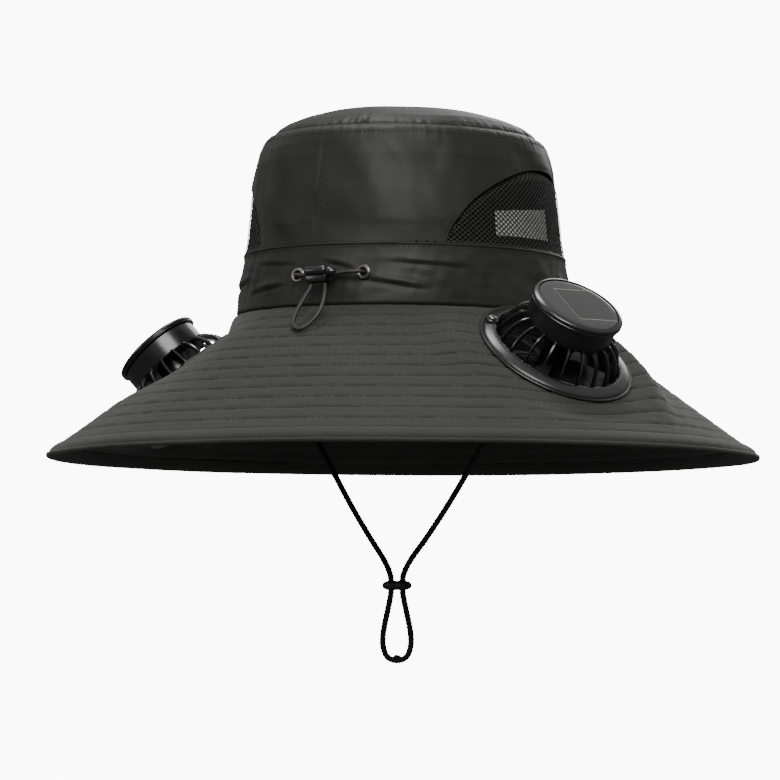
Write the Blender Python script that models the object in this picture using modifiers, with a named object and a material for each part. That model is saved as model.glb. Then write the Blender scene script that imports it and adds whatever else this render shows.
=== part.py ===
"""Wide-brimmed sun hat with two solar fans, a drawcord and a chin cord.

The origin is the centre of the head opening, where the crown meets the brim. +Z is up, -Y is the
rear, where the drawcord is, and the fans are at the two sides. Around the hat, an angle of 0 is the
rear seam and a positive angle turns towards +X.
"""

import math
from collections import namedtuple

import bmesh
import bpy
from mathutils import Matrix, Vector

# Gap left between neighbouring pieces
GAP = 0.0003

# Head opening and crown
OPENING_LENGTH = 0.2046
OPENING_WIDTH = 0.1750
CROWN_HEIGHT = 0.1150
TIP_SEAM_HEIGHT = 0.0970
BAND_HEIGHT = 0.0333
CROWN_CLOTH = 0.0014
BAND_CLOTH = 0.0020
CROWN_SIDES = 36

# Height and width of the crown's sections, as shares of its height and of the head opening
CrownSection = namedtuple("CrownSection", "height width")
CROWN_SECTIONS = [
    CrownSection(0.000, 1.000),
    CrownSection(0.165, 0.974),
    CrownSection(0.400, 0.933),
    CrownSection(0.704, 0.885),
    CrownSection(0.788, 0.852),
    CrownSection(0.843, 0.804),
    CrownSection(0.901, 0.709),
    CrownSection(0.957, 0.504),
    CrownSection(1.000, 0.000),
]

# Arched net windows, measured round the crown and up from the band
Arch = namedtuple("Arch", "side centre_deg")
ARCHES = [Arch("left", -82.0), Arch("right", 97.0)]
ARCH_HALF_DEG = 51.0
ARCH_HEIGHT = 0.0440
ARCH_COLUMNS = 12
ARCH_ROWS = 3
NET_THICKNESS = 0.0010
NET_MARGIN = 0.0040
NET_CLEARANCE = 0.0005
PATCH_CENTRE_DEG = 79.0
PATCH_HALF_DEG = 14.5
PATCH_LOW = 0.0072
PATCH_HIGH = 0.0228
PATCH_THICKNESS = 0.0005

# Drawcord channel inside the band
CHANNEL_HEIGHT = 0.0140
CHANNEL_DEPTH = 0.0030

# Brim and hem
RIM_LENGTH = 0.4132
RIM_WIDTH = 0.3752
RIM_DROP = 0.0745
BRIM_CLOTH = 0.0024
BRIM_SIDES = 44
JOINT_LAP = 0.0020
HEM_WIDTH = 0.0105
HEM_BULGE = 0.0004
BRIM_ROWS = [0.04, 0.20, 0.42, 0.62, 0.79, 0.895]

# Hollow of the brim's cloth beside the left fan
HOLLOW_DEPTH = 0.0062
HOLLOW_CENTRE_DEG = -60.0
HOLLOW_HALF_DEG = 30.0
HOLLOW_SHARES = [0.12, 0.22, 0.54]

# Fans: place round the brim, place down the brim's slant, tip outwards, turn to the rear and
# depth that the seat is sunk
FanSeat = namedtuple("FanSeat", "side around_deg down_share lean_deg turn_deg sunk")
FAN_SEATS = [
    FanSeat("left", -86.2, 0.431, 5.0, 10.0, 0.0020),
    FanSeat("right", 68.8, 0.346, 2.0, 6.9, 0.0),
]
FAN_STEPS = 20
FLAT_RADIUS = 0.0560
FLAT_BLEND = 0.0220
FLANGE_RADIUS = 0.0424
FLANGE_INNER_RADIUS = 0.0345
FLANGE_HEIGHT = 0.0042
FLANGE_SEAT = 0.0005
DUCT_RADIUS = 0.0352
DUCT_WALL = 0.0025
DUCT_DEPTH = 0.0090
BARREL_RADIUS = 0.0234
BARREL_LOW = 0.0165
BARREL_TOP = 0.0278
CAP_RADIUS = 0.0249
CAP_HEIGHT = 0.0040
PANEL_RADIUS = 0.0219
PANEL_THICKNESS = 0.0012
PANEL_LEDGE = 0.0016
RIB_COUNT = 20
RIB_FIRST_DEG = -102.5
RIB_WIDTH = 0.0012
RIB_DEPTH = 0.0022
SCREW_ANGLE_DEG = 141.0
SCREW_RING_RADIUS = 0.0372
SCREW_RADIUS = 0.0023
LUG_RADIUS = 0.0036
LUG_HEIGHT = 0.0050
MOTOR_RADIUS = 0.0085
SHAFT_RADIUS = 0.0012
HUB_RADIUS = 0.0076
HUB_TOP = 0.0061
HUB_LOW = -0.0075
BLADE_COUNT = 7
BLADE_TIP_RADIUS = 0.0288
BLADE_CHORD = 0.0140
BLADE_THICKNESS = 0.0012
BLADE_PITCH_DEG = 35.0
BLADE_MIDDLE = -0.0044
BLADE_ROOT_SHARE = 0.40
OUTLET_RADIUS = 0.0404
OUTLET_DEPTH = 0.0110
OUTLET_BAR_COUNT = 6
OUTLET_BAR_WIDTH = 0.0018

# Eyelets and drawcord
Eyelet = namedtuple("Eyelet", "side around_deg height")
EYELETS = [Eyelet("left", -7.0, 0.0166), Eyelet("right", 17.7, 0.0171)]
EYELET_RADIUS = 0.0041
EYELET_BORE = 0.0023
EYELET_LIP = 0.0008
EYELET_NECK = 0.0030
EYELET_DEPTH = 0.0018
DRAWCORD_DIAMETER = 0.0020

# Cord lock, with its press button on the +X side; it stands off the rear of the head opening
LOCK_ACROSS = 0.0054
LOCK_STANDOFF = 0.0056
LOCK_HEIGHT = 0.0158
LOCK_SIZE = (0.0138, 0.0086, 0.0092)
LOCK_ROUNDING = 0.0022
BUTTON_RAISE = 0.0011
BUTTON_RADIUS = 0.0029
BUTTON_LENGTH = 0.0052
BUTTON_STEM_RADIUS = 0.0015
BUTTON_STEM_LENGTH = 0.0070
BUTTON_TRAVEL = 0.0030

# Route of the drawcord from the right eyelet, through the lock, round its loop and back: each
# point's X, its distance out from the rear of the head opening, and its Z
DRAWCORD_ROUTE = [
    (0.0253, -0.0088, 0.0171),
    (0.0260, -0.0070, 0.0171),
    (0.0267, -0.0047, 0.0171),
    (0.0260, -0.0019, 0.0171),
    (0.0226, -0.0005, 0.0170),
    (0.0180, -0.0005, 0.0168),
    (0.0130, -0.0003, 0.0163),
    (0.0093, 0.0011, 0.0153),
    (0.0083, 0.0033, 0.0137),
    (0.0089, 0.0046, 0.0120),
    (0.0102, 0.0057, 0.0098),
    (0.0119, 0.0090, 0.0050),
    (0.0126, 0.0131, -0.0012),
    (0.0115, 0.0167, -0.0067),
    (0.0084, 0.0194, -0.0110),
    (0.0046, 0.0213, -0.0133),
    (0.0010, 0.0206, -0.0124),
    (-0.0015, 0.0185, -0.0096),
    (-0.0014, 0.0148, -0.0039),
    (0.0004, 0.0106, 0.0029),
    (0.0018, 0.0067, 0.0084),
    (0.0023, 0.0051, 0.0116),
    (0.0014, 0.0034, 0.0140),
    (-0.0014, 0.0019, 0.0156),
    (-0.0058, 0.0013, 0.0162),
    (-0.0096, 0.0009, 0.0165),
    (-0.0110, -0.0009, 0.0166),
    (-0.0106, -0.0029, 0.0166),
    (-0.0103, -0.0048, 0.0166),
]

# Chin cord: route of its right strand from the clamp under the crown down to the knot
CHIN_CORD_DIAMETER = 0.0030
CHIN_CORD_SPACING = 0.0086
CHIN_ROUTE = [
    (0.0824, -0.0040, 0.0007),
    (0.0816, -0.0040, -0.0080),
    (0.0766, -0.0041, -0.0220),
    (0.0682, -0.0043, -0.0380),
    (0.0598, -0.0045, -0.0522),
    (0.0513, -0.0046, -0.0658),
    (0.0408, -0.0057, -0.0824),
    (0.0296, -0.0069, -0.1000),
    (0.0175, -0.0082, -0.1172),
    (0.0085, -0.0094, -0.1290),
    (0.0041, -0.0100, -0.1372),
    (0.0036, -0.0100, -0.1432),
    (0.0038, -0.0100, -0.1485),
    (0.0059, -0.0100, -0.1577),
    (0.0081, -0.0100, -0.1675),
    (0.0085, -0.0100, -0.1745),
    (0.0068, -0.0100, -0.1800),
    (0.0040, -0.0100, -0.1824),
]
CLAMP_WIDTH = 0.0100
CLAMP_DEPTH = 0.0044
CLAMP_LOW = 0.0010
CLAMP_HIGH = 0.0092
SLIDER_CENTRE = (0.0, -0.0100, -0.1432)
SLIDER_SIZE = (0.0176, 0.0070, 0.0064)
SLIDER_HOLE_SPREAD = 0.0072
SLIDER_HOLE_CLEARANCE = 0.0006
KNOT_CENTRE = (0.0, -0.0100, -0.1829)
KNOT_SIZE = (0.0052, 0.0052, 0.0046)

Finish = namedtuple("Finish", "colour roughness metallic")
FINISHES = {
    "crown_cloth": Finish((0.030, 0.031, 0.029), 0.75, 0.0),
    "brim_cloth": Finish((0.055, 0.056, 0.052), 0.85, 0.0),
    "net": Finish((0.012, 0.012, 0.012), 0.80, 0.0),
    "reflective": Finish((0.550, 0.560, 0.540), 0.45, 0.0),
    "moulding": Finish((0.012, 0.012, 0.012), 0.35, 0.0),
    "gloss_moulding": Finish((0.008, 0.008, 0.008), 0.15, 0.0),
    "solar_cell": Finish((0.015, 0.017, 0.016), 0.12, 0.0),
    "dark_nickel": Finish((0.200, 0.190, 0.170), 0.28, 1.0),
    "cord": Finish((0.010, 0.010, 0.010), 0.80, 0.0),
}


def clear_scene():
    for old in list(bpy.data.objects):
        bpy.data.objects.remove(old, do_unlink=True)


def new_collection(name):
    collection = bpy.data.collections.new(name)
    bpy.context.scene.collection.children.link(collection)
    return collection


def finish_material(piece, finish_name):
    """Give a piece its own Principled material."""
    finish = FINISHES[finish_name]
    material = bpy.data.materials.new(piece.name + "_" + finish_name)
    material.use_nodes = True
    shader = material.node_tree.nodes["Principled BSDF"]
    shader.inputs["Base Color"].default_value = (*finish.colour, 1.0)
    shader.inputs["Roughness"].default_value = finish.roughness
    shader.inputs["Metallic"].default_value = finish.metallic
    piece.data.materials.clear()
    piece.data.materials.append(material)


def object_from_bmesh(name, bm, collection):
    mesh = bpy.data.meshes.new(name)
    bm.to_mesh(mesh)
    bm.free()
    piece = bpy.data.objects.new(name, mesh)
    collection.objects.link(piece)
    return piece


def smooth(piece, angle_deg=35.0):
    piece.data.shade_smooth()
    piece.data.set_sharp_from_angle(angle=math.radians(angle_deg))


def as_cutter(piece):
    piece.hide_render = True
    piece.display_type = "WIRE"
    return piece


def add_boolean(piece, other, operation):
    modifier = piece.modifiers.new(operation.lower() + "_" + other.name, "BOOLEAN")
    modifier.operation = operation
    modifier.object = other
    modifier.solver = "EXACT"


def add_solidify(piece, thickness):
    modifier = piece.modifiers.new("wall", "SOLIDIFY")
    modifier.thickness = thickness
    modifier.offset = -1.0
    modifier.use_even_offset = True


def blend_in(value):
    """0 below 0, 1 above 1 and a smooth step between."""
    value = min(max(value, 0.0), 1.0)
    return value * value * (3.0 - 2.0 * value)


def spin_profile(points, closed, angles):
    """Spin a profile of (distance, height) points through a list of angles and return the bmesh.

    The angles are in order round the hat. A closed profile gives a ring, an open one a surface.
    """
    bm = bmesh.new()
    count = len(angles)
    verts = [bm.verts.new((0.0, -distance, height)) for distance, height in points]
    edges = [bm.edges.new(pair) for pair in zip(verts, verts[1:])]
    if closed:
        edges.append(bm.edges.new((verts[-1], verts[0])))
    bmesh.ops.spin(
        bm, geom=verts + edges, axis=(0.0, 0.0, 1.0), cent=(0.0, 0.0, 0.0),
        angle=2.0 * math.pi, steps=count, use_merge=True, use_duplicate=False)
    bmesh.ops.remove_doubles(bm, verts=bm.verts, dist=1.0e-6)
    return bm


def even_angles(count):
    return [2.0 * math.pi * index / count for index in range(count)]


def face_outwards(bm, outward):
    """Turn an open surface so that its faces point the way that outward(face centre) gives."""
    bmesh.ops.recalc_face_normals(bm, faces=bm.faces)
    total = sum(face.normal.dot(outward(face.calc_center_median())) for face in bm.faces)
    if total < 0.0:
        bmesh.ops.reverse_faces(bm, faces=bm.faces)


# Crown

def crown_width(height):
    """Width share of the crown at a height, between the sections of the table."""
    share = height / CROWN_HEIGHT
    for low, high in zip(CROWN_SECTIONS, CROWN_SECTIONS[1:]):
        if share <= high.height:
            along = (share - low.height) / (high.height - low.height)
            return low.width + (high.width - low.width) * along
    return CROWN_SECTIONS[-1].width


def crown_point(angle, height, inset=0.0):
    """Point of the crown's outer face, moved inwards by inset."""
    width = crown_width(height)
    return Vector((
        (OPENING_WIDTH / 2.0 * width - inset) * math.sin(angle),
        -(OPENING_LENGTH / 2.0 * width - inset) * math.cos(angle),
        height))


def crown_normal(angle, height):
    """Outward direction of the crown's face."""
    step = 0.001
    along = crown_point(angle + step, height) - crown_point(angle - step, height)
    up = crown_point(angle, height + step) - crown_point(angle, height - step)
    return along.cross(up).normalized()


def crown_heights(low, high):
    inner = [row.height * CROWN_HEIGHT for row in CROWN_SECTIONS]
    return [low] + [height for height in inner if low < height < high] + [high]


def crown_shell(name, heights, inset, wall, collection):
    """Oval wall of the crown through a list of heights."""
    low = heights[0]
    profile = [(1.0, height) for height in heights]
    closing = heights[-1] >= CROWN_HEIGHT
    bm = spin_profile(profile, False, even_angles(CROWN_SIDES))
    for vert in bm.verts:
        angle = math.atan2(vert.co.x, -vert.co.y)
        vert.co = crown_point(angle, vert.co.z, inset)
    if closing:
        bmesh.ops.remove_doubles(bm, verts=bm.verts, dist=1.0e-6)
    middle = Vector((0.0, 0.0, low - CROWN_HEIGHT / 4.0))
    face_outwards(bm, lambda centre: centre - middle)
    piece = object_from_bmesh(name, bm, collection)
    add_solidify(piece, wall)
    smooth(piece)
    return piece


def arch_height(along, height):
    """Height of an arch above the band, along running from -1 to 1 across it."""
    return height * max(1.0 - along * along, 0.0)


def arch_block(name, centre_deg, half_deg, height, low, outer_inset, inner_inset, collection):
    """Closed block of an arch's outline that follows the crown between two insets."""
    bm = bmesh.new()
    rings = []
    for column in range(ARCH_COLUMNS + 1):
        along = -1.0 + 2.0 * column / ARCH_COLUMNS
        angle = math.radians(centre_deg + half_deg * along)
        top = BAND_HEIGHT + arch_height(along, height)
        top = max(top, low + 0.001)
        heights = [low + (top - low) * row / ARCH_ROWS for row in range(ARCH_ROWS + 1)]
        outer = [bm.verts.new(crown_point(angle, value, outer_inset)) for value in heights]
        inner = [bm.verts.new(crown_point(angle, value, inner_inset)) for value in heights]
        ring = outer + inner[::-1]
        edges = [bm.edges.new(pair) for pair in zip(ring, ring[1:] + ring[:1])]
        rings.append((ring, edges))
    for (_, edges), (_, next_edges) in zip(rings, rings[1:]):
        bmesh.ops.bridge_loops(bm, edges=edges + next_edges)
    bm.faces.new(rings[0][0])
    bm.faces.new(rings[-1][0])
    bmesh.ops.triangulate(bm, faces=bm.faces)
    bmesh.ops.recalc_face_normals(bm, faces=bm.faces)
    return object_from_bmesh(name, bm, collection)


def build_crown(parts, cutters):
    side_low = BAND_HEIGHT + GAP
    tip = crown_shell(
        "crown_tip", crown_heights(TIP_SEAM_HEIGHT + GAP / 2.0, CROWN_HEIGHT), 0.0, CROWN_CLOTH,
        parts)
    finish_material(tip, "crown_cloth")
    side = crown_shell(
        "crown_side", crown_heights(side_low, TIP_SEAM_HEIGHT - GAP / 2.0), 0.0, CROWN_CLOTH,
        parts)
    finish_material(side, "crown_cloth")

    net_inset = CROWN_CLOTH + NET_CLEARANCE
    for arch in ARCHES:
        opening = arch_block(
            "arch_cutter_" + arch.side, arch.centre_deg, ARCH_HALF_DEG, ARCH_HEIGHT,
            side_low - CROWN_CLOTH, -3.0 * CROWN_CLOTH, 4.0 * CROWN_CLOTH, cutters)
        add_boolean(side, as_cutter(opening), "DIFFERENCE")
        margin_deg = math.degrees(NET_MARGIN / (OPENING_LENGTH / 2.0))
        net = arch_block(
            "net_" + arch.side, arch.centre_deg, ARCH_HALF_DEG + margin_deg,
            ARCH_HEIGHT + NET_MARGIN, side_low, net_inset, net_inset + NET_THICKNESS, parts)
        smooth(net)
        finish_material(net, "net")
    build_patch(net_inset + NET_THICKNESS + GAP, parts)

    band = crown_shell("hat_band", crown_heights(GAP, BAND_HEIGHT), 0.0, BAND_CLOTH, parts)
    finish_material(band, "crown_cloth")
    for eyelet in EYELETS:
        add_boolean(band, as_cutter(eyelet_hole(eyelet, cutters)), "DIFFERENCE")

    middle = sum(eyelet.height for eyelet in EYELETS) / len(EYELETS)
    channel = crown_shell(
        "drawcord_channel", [middle - CHANNEL_HEIGHT / 2.0, middle + CHANNEL_HEIGHT / 2.0],
        BAND_CLOTH + GAP * 2.0, CHANNEL_DEPTH, parts)
    finish_material(channel, "crown_cloth")


def build_patch(inset, parts):
    """Plain reflective patch behind the right-hand net."""
    bm = bmesh.new()
    columns = ARCH_COLUMNS // 2
    low = BAND_HEIGHT + PATCH_LOW
    high = BAND_HEIGHT + PATCH_HIGH
    rows = []
    for column in range(columns + 1):
        along = -1.0 + 2.0 * column / columns
        angle = math.radians(PATCH_CENTRE_DEG + PATCH_HALF_DEG * along)
        rows.append((
            bm.verts.new(crown_point(angle, low, inset)),
            bm.verts.new(crown_point(angle, high, inset))))
    for (low_a, high_a), (low_b, high_b) in zip(rows, rows[1:]):
        bm.faces.new((low_a, low_b, high_b, high_a))
    face_outwards(bm, lambda centre: Vector((centre.x, centre.y, 0.0)))
    patch = object_from_bmesh("net_patch", bm, parts)
    add_solidify(patch, PATCH_THICKNESS)
    finish_material(patch, "reflective")


# Brim

def brim_cone(angle, share):
    """Point of the plain brim, share running from 0 at the crown to 1 at the rim."""
    down = max(share, 0.0)
    half_length = OPENING_LENGTH / 2.0 + (RIM_LENGTH - OPENING_LENGTH) / 2.0 * share
    half_width = OPENING_WIDTH / 2.0 + (RIM_WIDTH - OPENING_WIDTH) / 2.0 * share
    return Vector((half_width * math.sin(angle), -half_length * math.cos(angle), -RIM_DROP * down))


def brim_normal(angle, share):
    step = 0.001
    around = brim_cone(angle + step, share) - brim_cone(angle - step, share)
    down = brim_cone(angle, share + step) - brim_cone(angle, share - step)
    return down.cross(around).normalized()


def brim_slant():
    """Length of the brim from crown to rim, at the side."""
    return (brim_cone(math.pi / 2.0, 1.0) - brim_cone(math.pi / 2.0, 0.0)).length


def fan_frame(seat):
    """Matrix of a fan: its origin on the brim and its Z along the fan's axis."""
    around = math.radians(seat.around_deg)
    centre = brim_cone(around, seat.down_share)
    normal = brim_normal(around, seat.down_share)
    tilt = math.acos(normal.z) + math.radians(seat.lean_deg)
    heading = math.atan2(normal.x, -normal.y)
    heading -= math.copysign(math.radians(seat.turn_deg), heading)
    axis = Vector((
        math.sin(tilt) * math.sin(heading), -math.sin(tilt) * math.cos(heading), math.cos(tilt)))
    across = Vector((0.0, 0.0, 1.0)).cross(axis).normalized()
    upslope = axis.cross(across)
    turn = Matrix((across, upslope, axis)).transposed().to_4x4()
    return Matrix.Translation(centre - axis * seat.sunk) @ turn


def brim_hollow(angle, share):
    """Depth of the soft hollow beside the left fan."""
    away = abs(math.degrees(angle) - HOLLOW_CENTRE_DEG) / HOLLOW_HALF_DEG
    if away >= 1.0 or share <= 0.0:
        return 0.0
    start, full, end = HOLLOW_SHARES
    down = blend_in(share / start) * (1.0 - blend_in((share - full) / (end - full)))
    return HOLLOW_DEPTH * down * (0.5 + 0.5 * math.cos(math.pi * away))


def brim_point(angle, share):
    """Point of the brim's upper face, flattened under each fan."""
    point = brim_cone(angle, share) - brim_normal(angle, share) * brim_hollow(angle, share)
    first, last_flat, plain = BRIM_ROWS[0], BRIM_ROWS[-2], BRIM_ROWS[-1]
    joined = blend_in(share / first)
    joined *= 1.0 - blend_in((share - last_flat) / (plain - last_flat))
    for seat in FAN_SEATS:
        frame = fan_frame(seat)
        axis = frame.col[2].to_3d()
        offset = point - frame.translation
        above = offset.dot(axis)
        distance = (offset - axis * above).length
        flat = 1.0 - blend_in((distance - FLAT_RADIUS) / FLAT_BLEND)
        point = point - axis * (above * flat * joined)
    return point


def map_to_brim(bm, first_share):
    """Move a spun profile, whose distance is 1 plus the share, on to the brim."""
    for vert in bm.verts:
        angle = math.atan2(vert.co.x, -vert.co.y)
        share = math.hypot(vert.co.x, vert.co.y) - 1.0 + first_share
        rise = vert.co.z
        vert.co = brim_point(angle, share) + brim_normal(angle, share) * rise


def build_brim(parts, cutters):
    slant = brim_slant()
    hem_share = 1.0 - HEM_WIDTH / slant
    rows = [-JOINT_LAP / slant, 0.0] + BRIM_ROWS + [hem_share]
    bm = spin_profile([(1.0 + share, 0.0) for share in rows], False, even_angles(BRIM_SIDES))
    map_to_brim(bm, 0.0)
    bmesh.ops.triangulate(bm, faces=bm.faces)
    face_outwards(bm, lambda centre: Vector((0.0, 0.0, 1.0)))
    brim = object_from_bmesh("brim", bm, parts)
    add_solidify(brim, BRIM_CLOTH)
    smooth(brim)
    finish_material(brim, "brim_cloth")
    for seat in FAN_SEATS:
        hole = cylinder(
            "fan_hole_" + seat.side, DUCT_RADIUS + 0.0005, -4.0 * BRIM_CLOTH,
            2.0 * BRIM_CLOTH, FAN_STEPS, cutters)
        hole.matrix_world = fan_frame(seat)
        add_boolean(brim, as_cutter(hole), "DIFFERENCE")

    hem = build_hem(hem_share + GAP / slant, slant, parts)
    smooth(hem, 50.0)
    finish_material(hem, "brim_cloth")


def build_hem(first_share, slant, parts):
    """Padded edge: a rounded bar wrapped round the rim."""
    top = HEM_BULGE
    low = -BRIM_CLOTH - HEM_BULGE
    section = [
        (0.00, 0.0), (0.60, top), (0.92, 0.0), (1.00, -BRIM_CLOTH / 2.0),
        (0.92, -BRIM_CLOTH), (0.60, low), (0.00, -BRIM_CLOTH)]
    width = HEM_WIDTH - GAP
    profile = [(1.0 + along * width / slant, rise) for along, rise in section]
    bm = spin_profile(profile, True, even_angles(BRIM_SIDES))
    map_to_brim(bm, first_share)
    bmesh.ops.recalc_face_normals(bm, faces=bm.faces)
    return object_from_bmesh("brim_hem", bm, parts)


# Fans

def cylinder(name, radius, low, high, steps, collection):
    """Closed cylinder along Z between two heights."""
    bm = bmesh.new()
    bmesh.ops.create_cone(
        bm, cap_ends=True, segments=steps, radius1=radius, radius2=radius, depth=high - low)
    bmesh.ops.translate(bm, verts=bm.verts, vec=(0.0, 0.0, (low + high) / 2.0))
    return object_from_bmesh(name, bm, collection)


def turned(name, profile, closed, steps, collection):
    """Turned shape: a profile of (radius, height) points, outer side first and downwards."""
    mesh = bpy.data.meshes.new(name)
    edges = [(index, index + 1) for index in range(len(profile) - 1)]
    if closed:
        edges.append((len(profile) - 1, 0))
    mesh.from_pydata([(radius, 0.0, height) for radius, height in profile], edges, [])
    piece = bpy.data.objects.new(name, mesh)
    collection.objects.link(piece)
    modifier = piece.modifiers.new("turn", "SCREW")
    modifier.angle = 2.0 * math.pi
    modifier.steps = steps
    modifier.render_steps = steps
    modifier.use_merge_vertices = True
    modifier.merge_threshold = 1.0e-5
    modifier.use_smooth_shade = True
    return piece


def flange_profile():
    bowl = DUCT_RADIUS - DUCT_WALL
    return [
        (FLANGE_RADIUS, FLANGE_SEAT + 0.0010),
        (FLANGE_RADIUS, FLANGE_SEAT),
        (DUCT_RADIUS, FLANGE_SEAT),
        (DUCT_RADIUS, -DUCT_DEPTH),
        (bowl, -DUCT_DEPTH),
        (FLANGE_INNER_RADIUS, FLANGE_HEIGHT - 0.0004),
        (FLANGE_INNER_RADIUS + 0.0012, FLANGE_HEIGHT),
        (FLANGE_RADIUS - 0.0016, FLANGE_SEAT + 0.0021),
    ]


def build_flange(seat, parts, cutters):
    flange = turned("fan_flange_" + seat.side, flange_profile(), True, FAN_STEPS, parts)
    angle = math.radians(SCREW_ANGLE_DEG)
    place = Vector((math.cos(angle), math.sin(angle), 0.0)) * SCREW_RING_RADIUS
    lug = cylinder("lug_" + seat.side, LUG_RADIUS, FLANGE_SEAT + 0.0005, LUG_HEIGHT, 12, cutters)
    lug.matrix_world = fan_frame(seat) @ Matrix.Translation(place)
    add_boolean(flange, as_cutter(lug), "UNION")
    head_low = LUG_HEIGHT + GAP
    screw = turned(
        "fan_screw_" + seat.side,
        [(0.0, head_low + 0.0011), (SCREW_RADIUS * 0.7, head_low + 0.0010),
         (SCREW_RADIUS, head_low + 0.0004), (SCREW_RADIUS, head_low), (0.0, head_low)],
        False, 12, parts)
    finish_material(screw, "dark_nickel")
    finish_material(flange, "moulding")
    return flange, screw, place


def rib_route():
    """Middle line of a rib, as (radius, height), from inside the barrel to the duct wall."""
    foot = DUCT_RADIUS - DUCT_WALL - 0.0007
    low = 0.0012
    rise = BARREL_LOW - low
    reach = foot - BARREL_RADIUS
    return [
        (BARREL_RADIUS - 0.0015, BARREL_LOW + 0.0010),
        (BARREL_RADIUS + reach * 0.72, low + rise * 0.76),
        (foot, low),
    ]


def ribs(name, cutters):
    """All the ribs of a fan as loose bars, each reaching into the barrel."""
    bm = bmesh.new()
    route = [Vector((radius, 0.0, height)) for radius, height in rib_route()]
    for index in range(RIB_COUNT):
        spin = Matrix.Rotation(
            math.radians(RIB_FIRST_DEG + 360.0 * index / RIB_COUNT), 4, "Z")
        rings = []
        for number, point in enumerate(route):
            before = route[max(number - 1, 0)]
            after = route[min(number + 1, len(route) - 1)]
            along = (after - before).normalized()
            deep = along.cross(Vector((0.0, 1.0, 0.0))) * (RIB_DEPTH / 2.0)
            wide = Vector((0.0, RIB_WIDTH / 2.0, 0.0))
            corners = [point + deep + wide, point + deep - wide,
                       point - deep - wide, point - deep + wide]
            ring = [bm.verts.new(spin @ corner) for corner in corners]
            edges = [bm.edges.new(pair) for pair in zip(ring, ring[1:] + ring[:1])]
            rings.append((ring, edges))
        for (_, edges), (_, next_edges) in zip(rings, rings[1:]):
            bmesh.ops.bridge_loops(bm, edges=edges + next_edges)
        bm.faces.new(rings[0][0])
        bm.faces.new(rings[-1][0])
    bmesh.ops.recalc_face_normals(bm, faces=bm.faces)
    return object_from_bmesh(name, bm, cutters)


def build_housing(seat, parts, cutters):
    """Motor barrel with the guard ribs that spring from its foot, and the motor's shaft."""
    motor_low = HUB_TOP + GAP
    housing = turned(
        "fan_housing_" + seat.side,
        [(0.0, BARREL_TOP), (BARREL_RADIUS, BARREL_TOP),
         (BARREL_RADIUS, BARREL_LOW + 0.0010), (BARREL_RADIUS - 0.0010, BARREL_LOW),
         (MOTOR_RADIUS, BARREL_LOW), (MOTOR_RADIUS, motor_low), (SHAFT_RADIUS, motor_low),
         (SHAFT_RADIUS, HUB_LOW + 0.0030), (0.0, HUB_LOW + 0.0030)],
        False, FAN_STEPS, parts)
    guard = ribs("ribs_" + seat.side, cutters)
    guard.matrix_world = fan_frame(seat)
    add_boolean(housing, as_cutter(guard), "UNION")
    finish_material(housing, "gloss_moulding")
    return housing


def build_cap(seat, parts):
    """Rim of the cap, and the solar panel that sits in it."""
    low = BARREL_TOP + GAP
    top = BARREL_TOP + CAP_HEIGHT
    ledge = top - PANEL_LEDGE
    bore = PANEL_RADIUS + GAP
    rim = turned(
        "cap_rim_" + seat.side,
        [(CAP_RADIUS - 0.0010, top), (CAP_RADIUS, top - 0.0010), (CAP_RADIUS - 0.0004, low),
         (PANEL_RADIUS - 0.0020, low),
         (PANEL_RADIUS - 0.0020, ledge), (bore, ledge), (bore, top)],
        True, FAN_STEPS, parts)
    finish_material(rim, "gloss_moulding")
    panel_low = ledge + GAP
    panel_top = panel_low + PANEL_THICKNESS
    panel = turned(
        "solar_panel_" + seat.side,
        [(0.0, panel_top + 0.0003), (PANEL_RADIUS * 0.6, panel_top + 0.0002),
         (PANEL_RADIUS, panel_top), (PANEL_RADIUS, panel_low), (0.0, panel_low)],
        False, FAN_STEPS, parts)
    finish_material(panel, "solar_cell")
    return rim, panel


def build_impeller(seat, parts, cutters):
    bore = SHAFT_RADIUS + GAP
    impeller = turned(
        "impeller_" + seat.side,
        [(HUB_RADIUS, HUB_TOP), (HUB_RADIUS, HUB_LOW), (bore, HUB_LOW), (bore, HUB_TOP)],
        True, 12, parts)
    bm = bmesh.new()
    inner = (HUB_RADIUS + bore) / 2.0
    middle = (BLADE_TIP_RADIUS + inner) / 2.0
    for index in range(BLADE_COUNT):
        made = bmesh.ops.create_cube(bm, size=1.0)["verts"]
        bmesh.ops.scale(
            bm, verts=made, vec=(BLADE_TIP_RADIUS - inner, BLADE_CHORD, BLADE_THICKNESS))
        bmesh.ops.rotate(
            bm, verts=made, matrix=Matrix.Rotation(math.radians(BLADE_PITCH_DEG), 3, "X"))
        for vert in made:
            if vert.co.x < 0.0:
                vert.co.y *= BLADE_ROOT_SHARE
                vert.co.z *= BLADE_ROOT_SHARE
        bmesh.ops.translate(bm, verts=made, vec=(middle, 0.0, BLADE_MIDDLE))
        bmesh.ops.rotate(
            bm, verts=made,
            matrix=Matrix.Rotation(2.0 * math.pi * index / BLADE_COUNT, 3, "Z"))
    blades = object_from_bmesh("blades_" + seat.side, bm, cutters)
    blades.matrix_world = fan_frame(seat)
    add_boolean(impeller, as_cutter(blades), "UNION")
    finish_material(impeller, "moulding")
    return impeller


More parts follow.
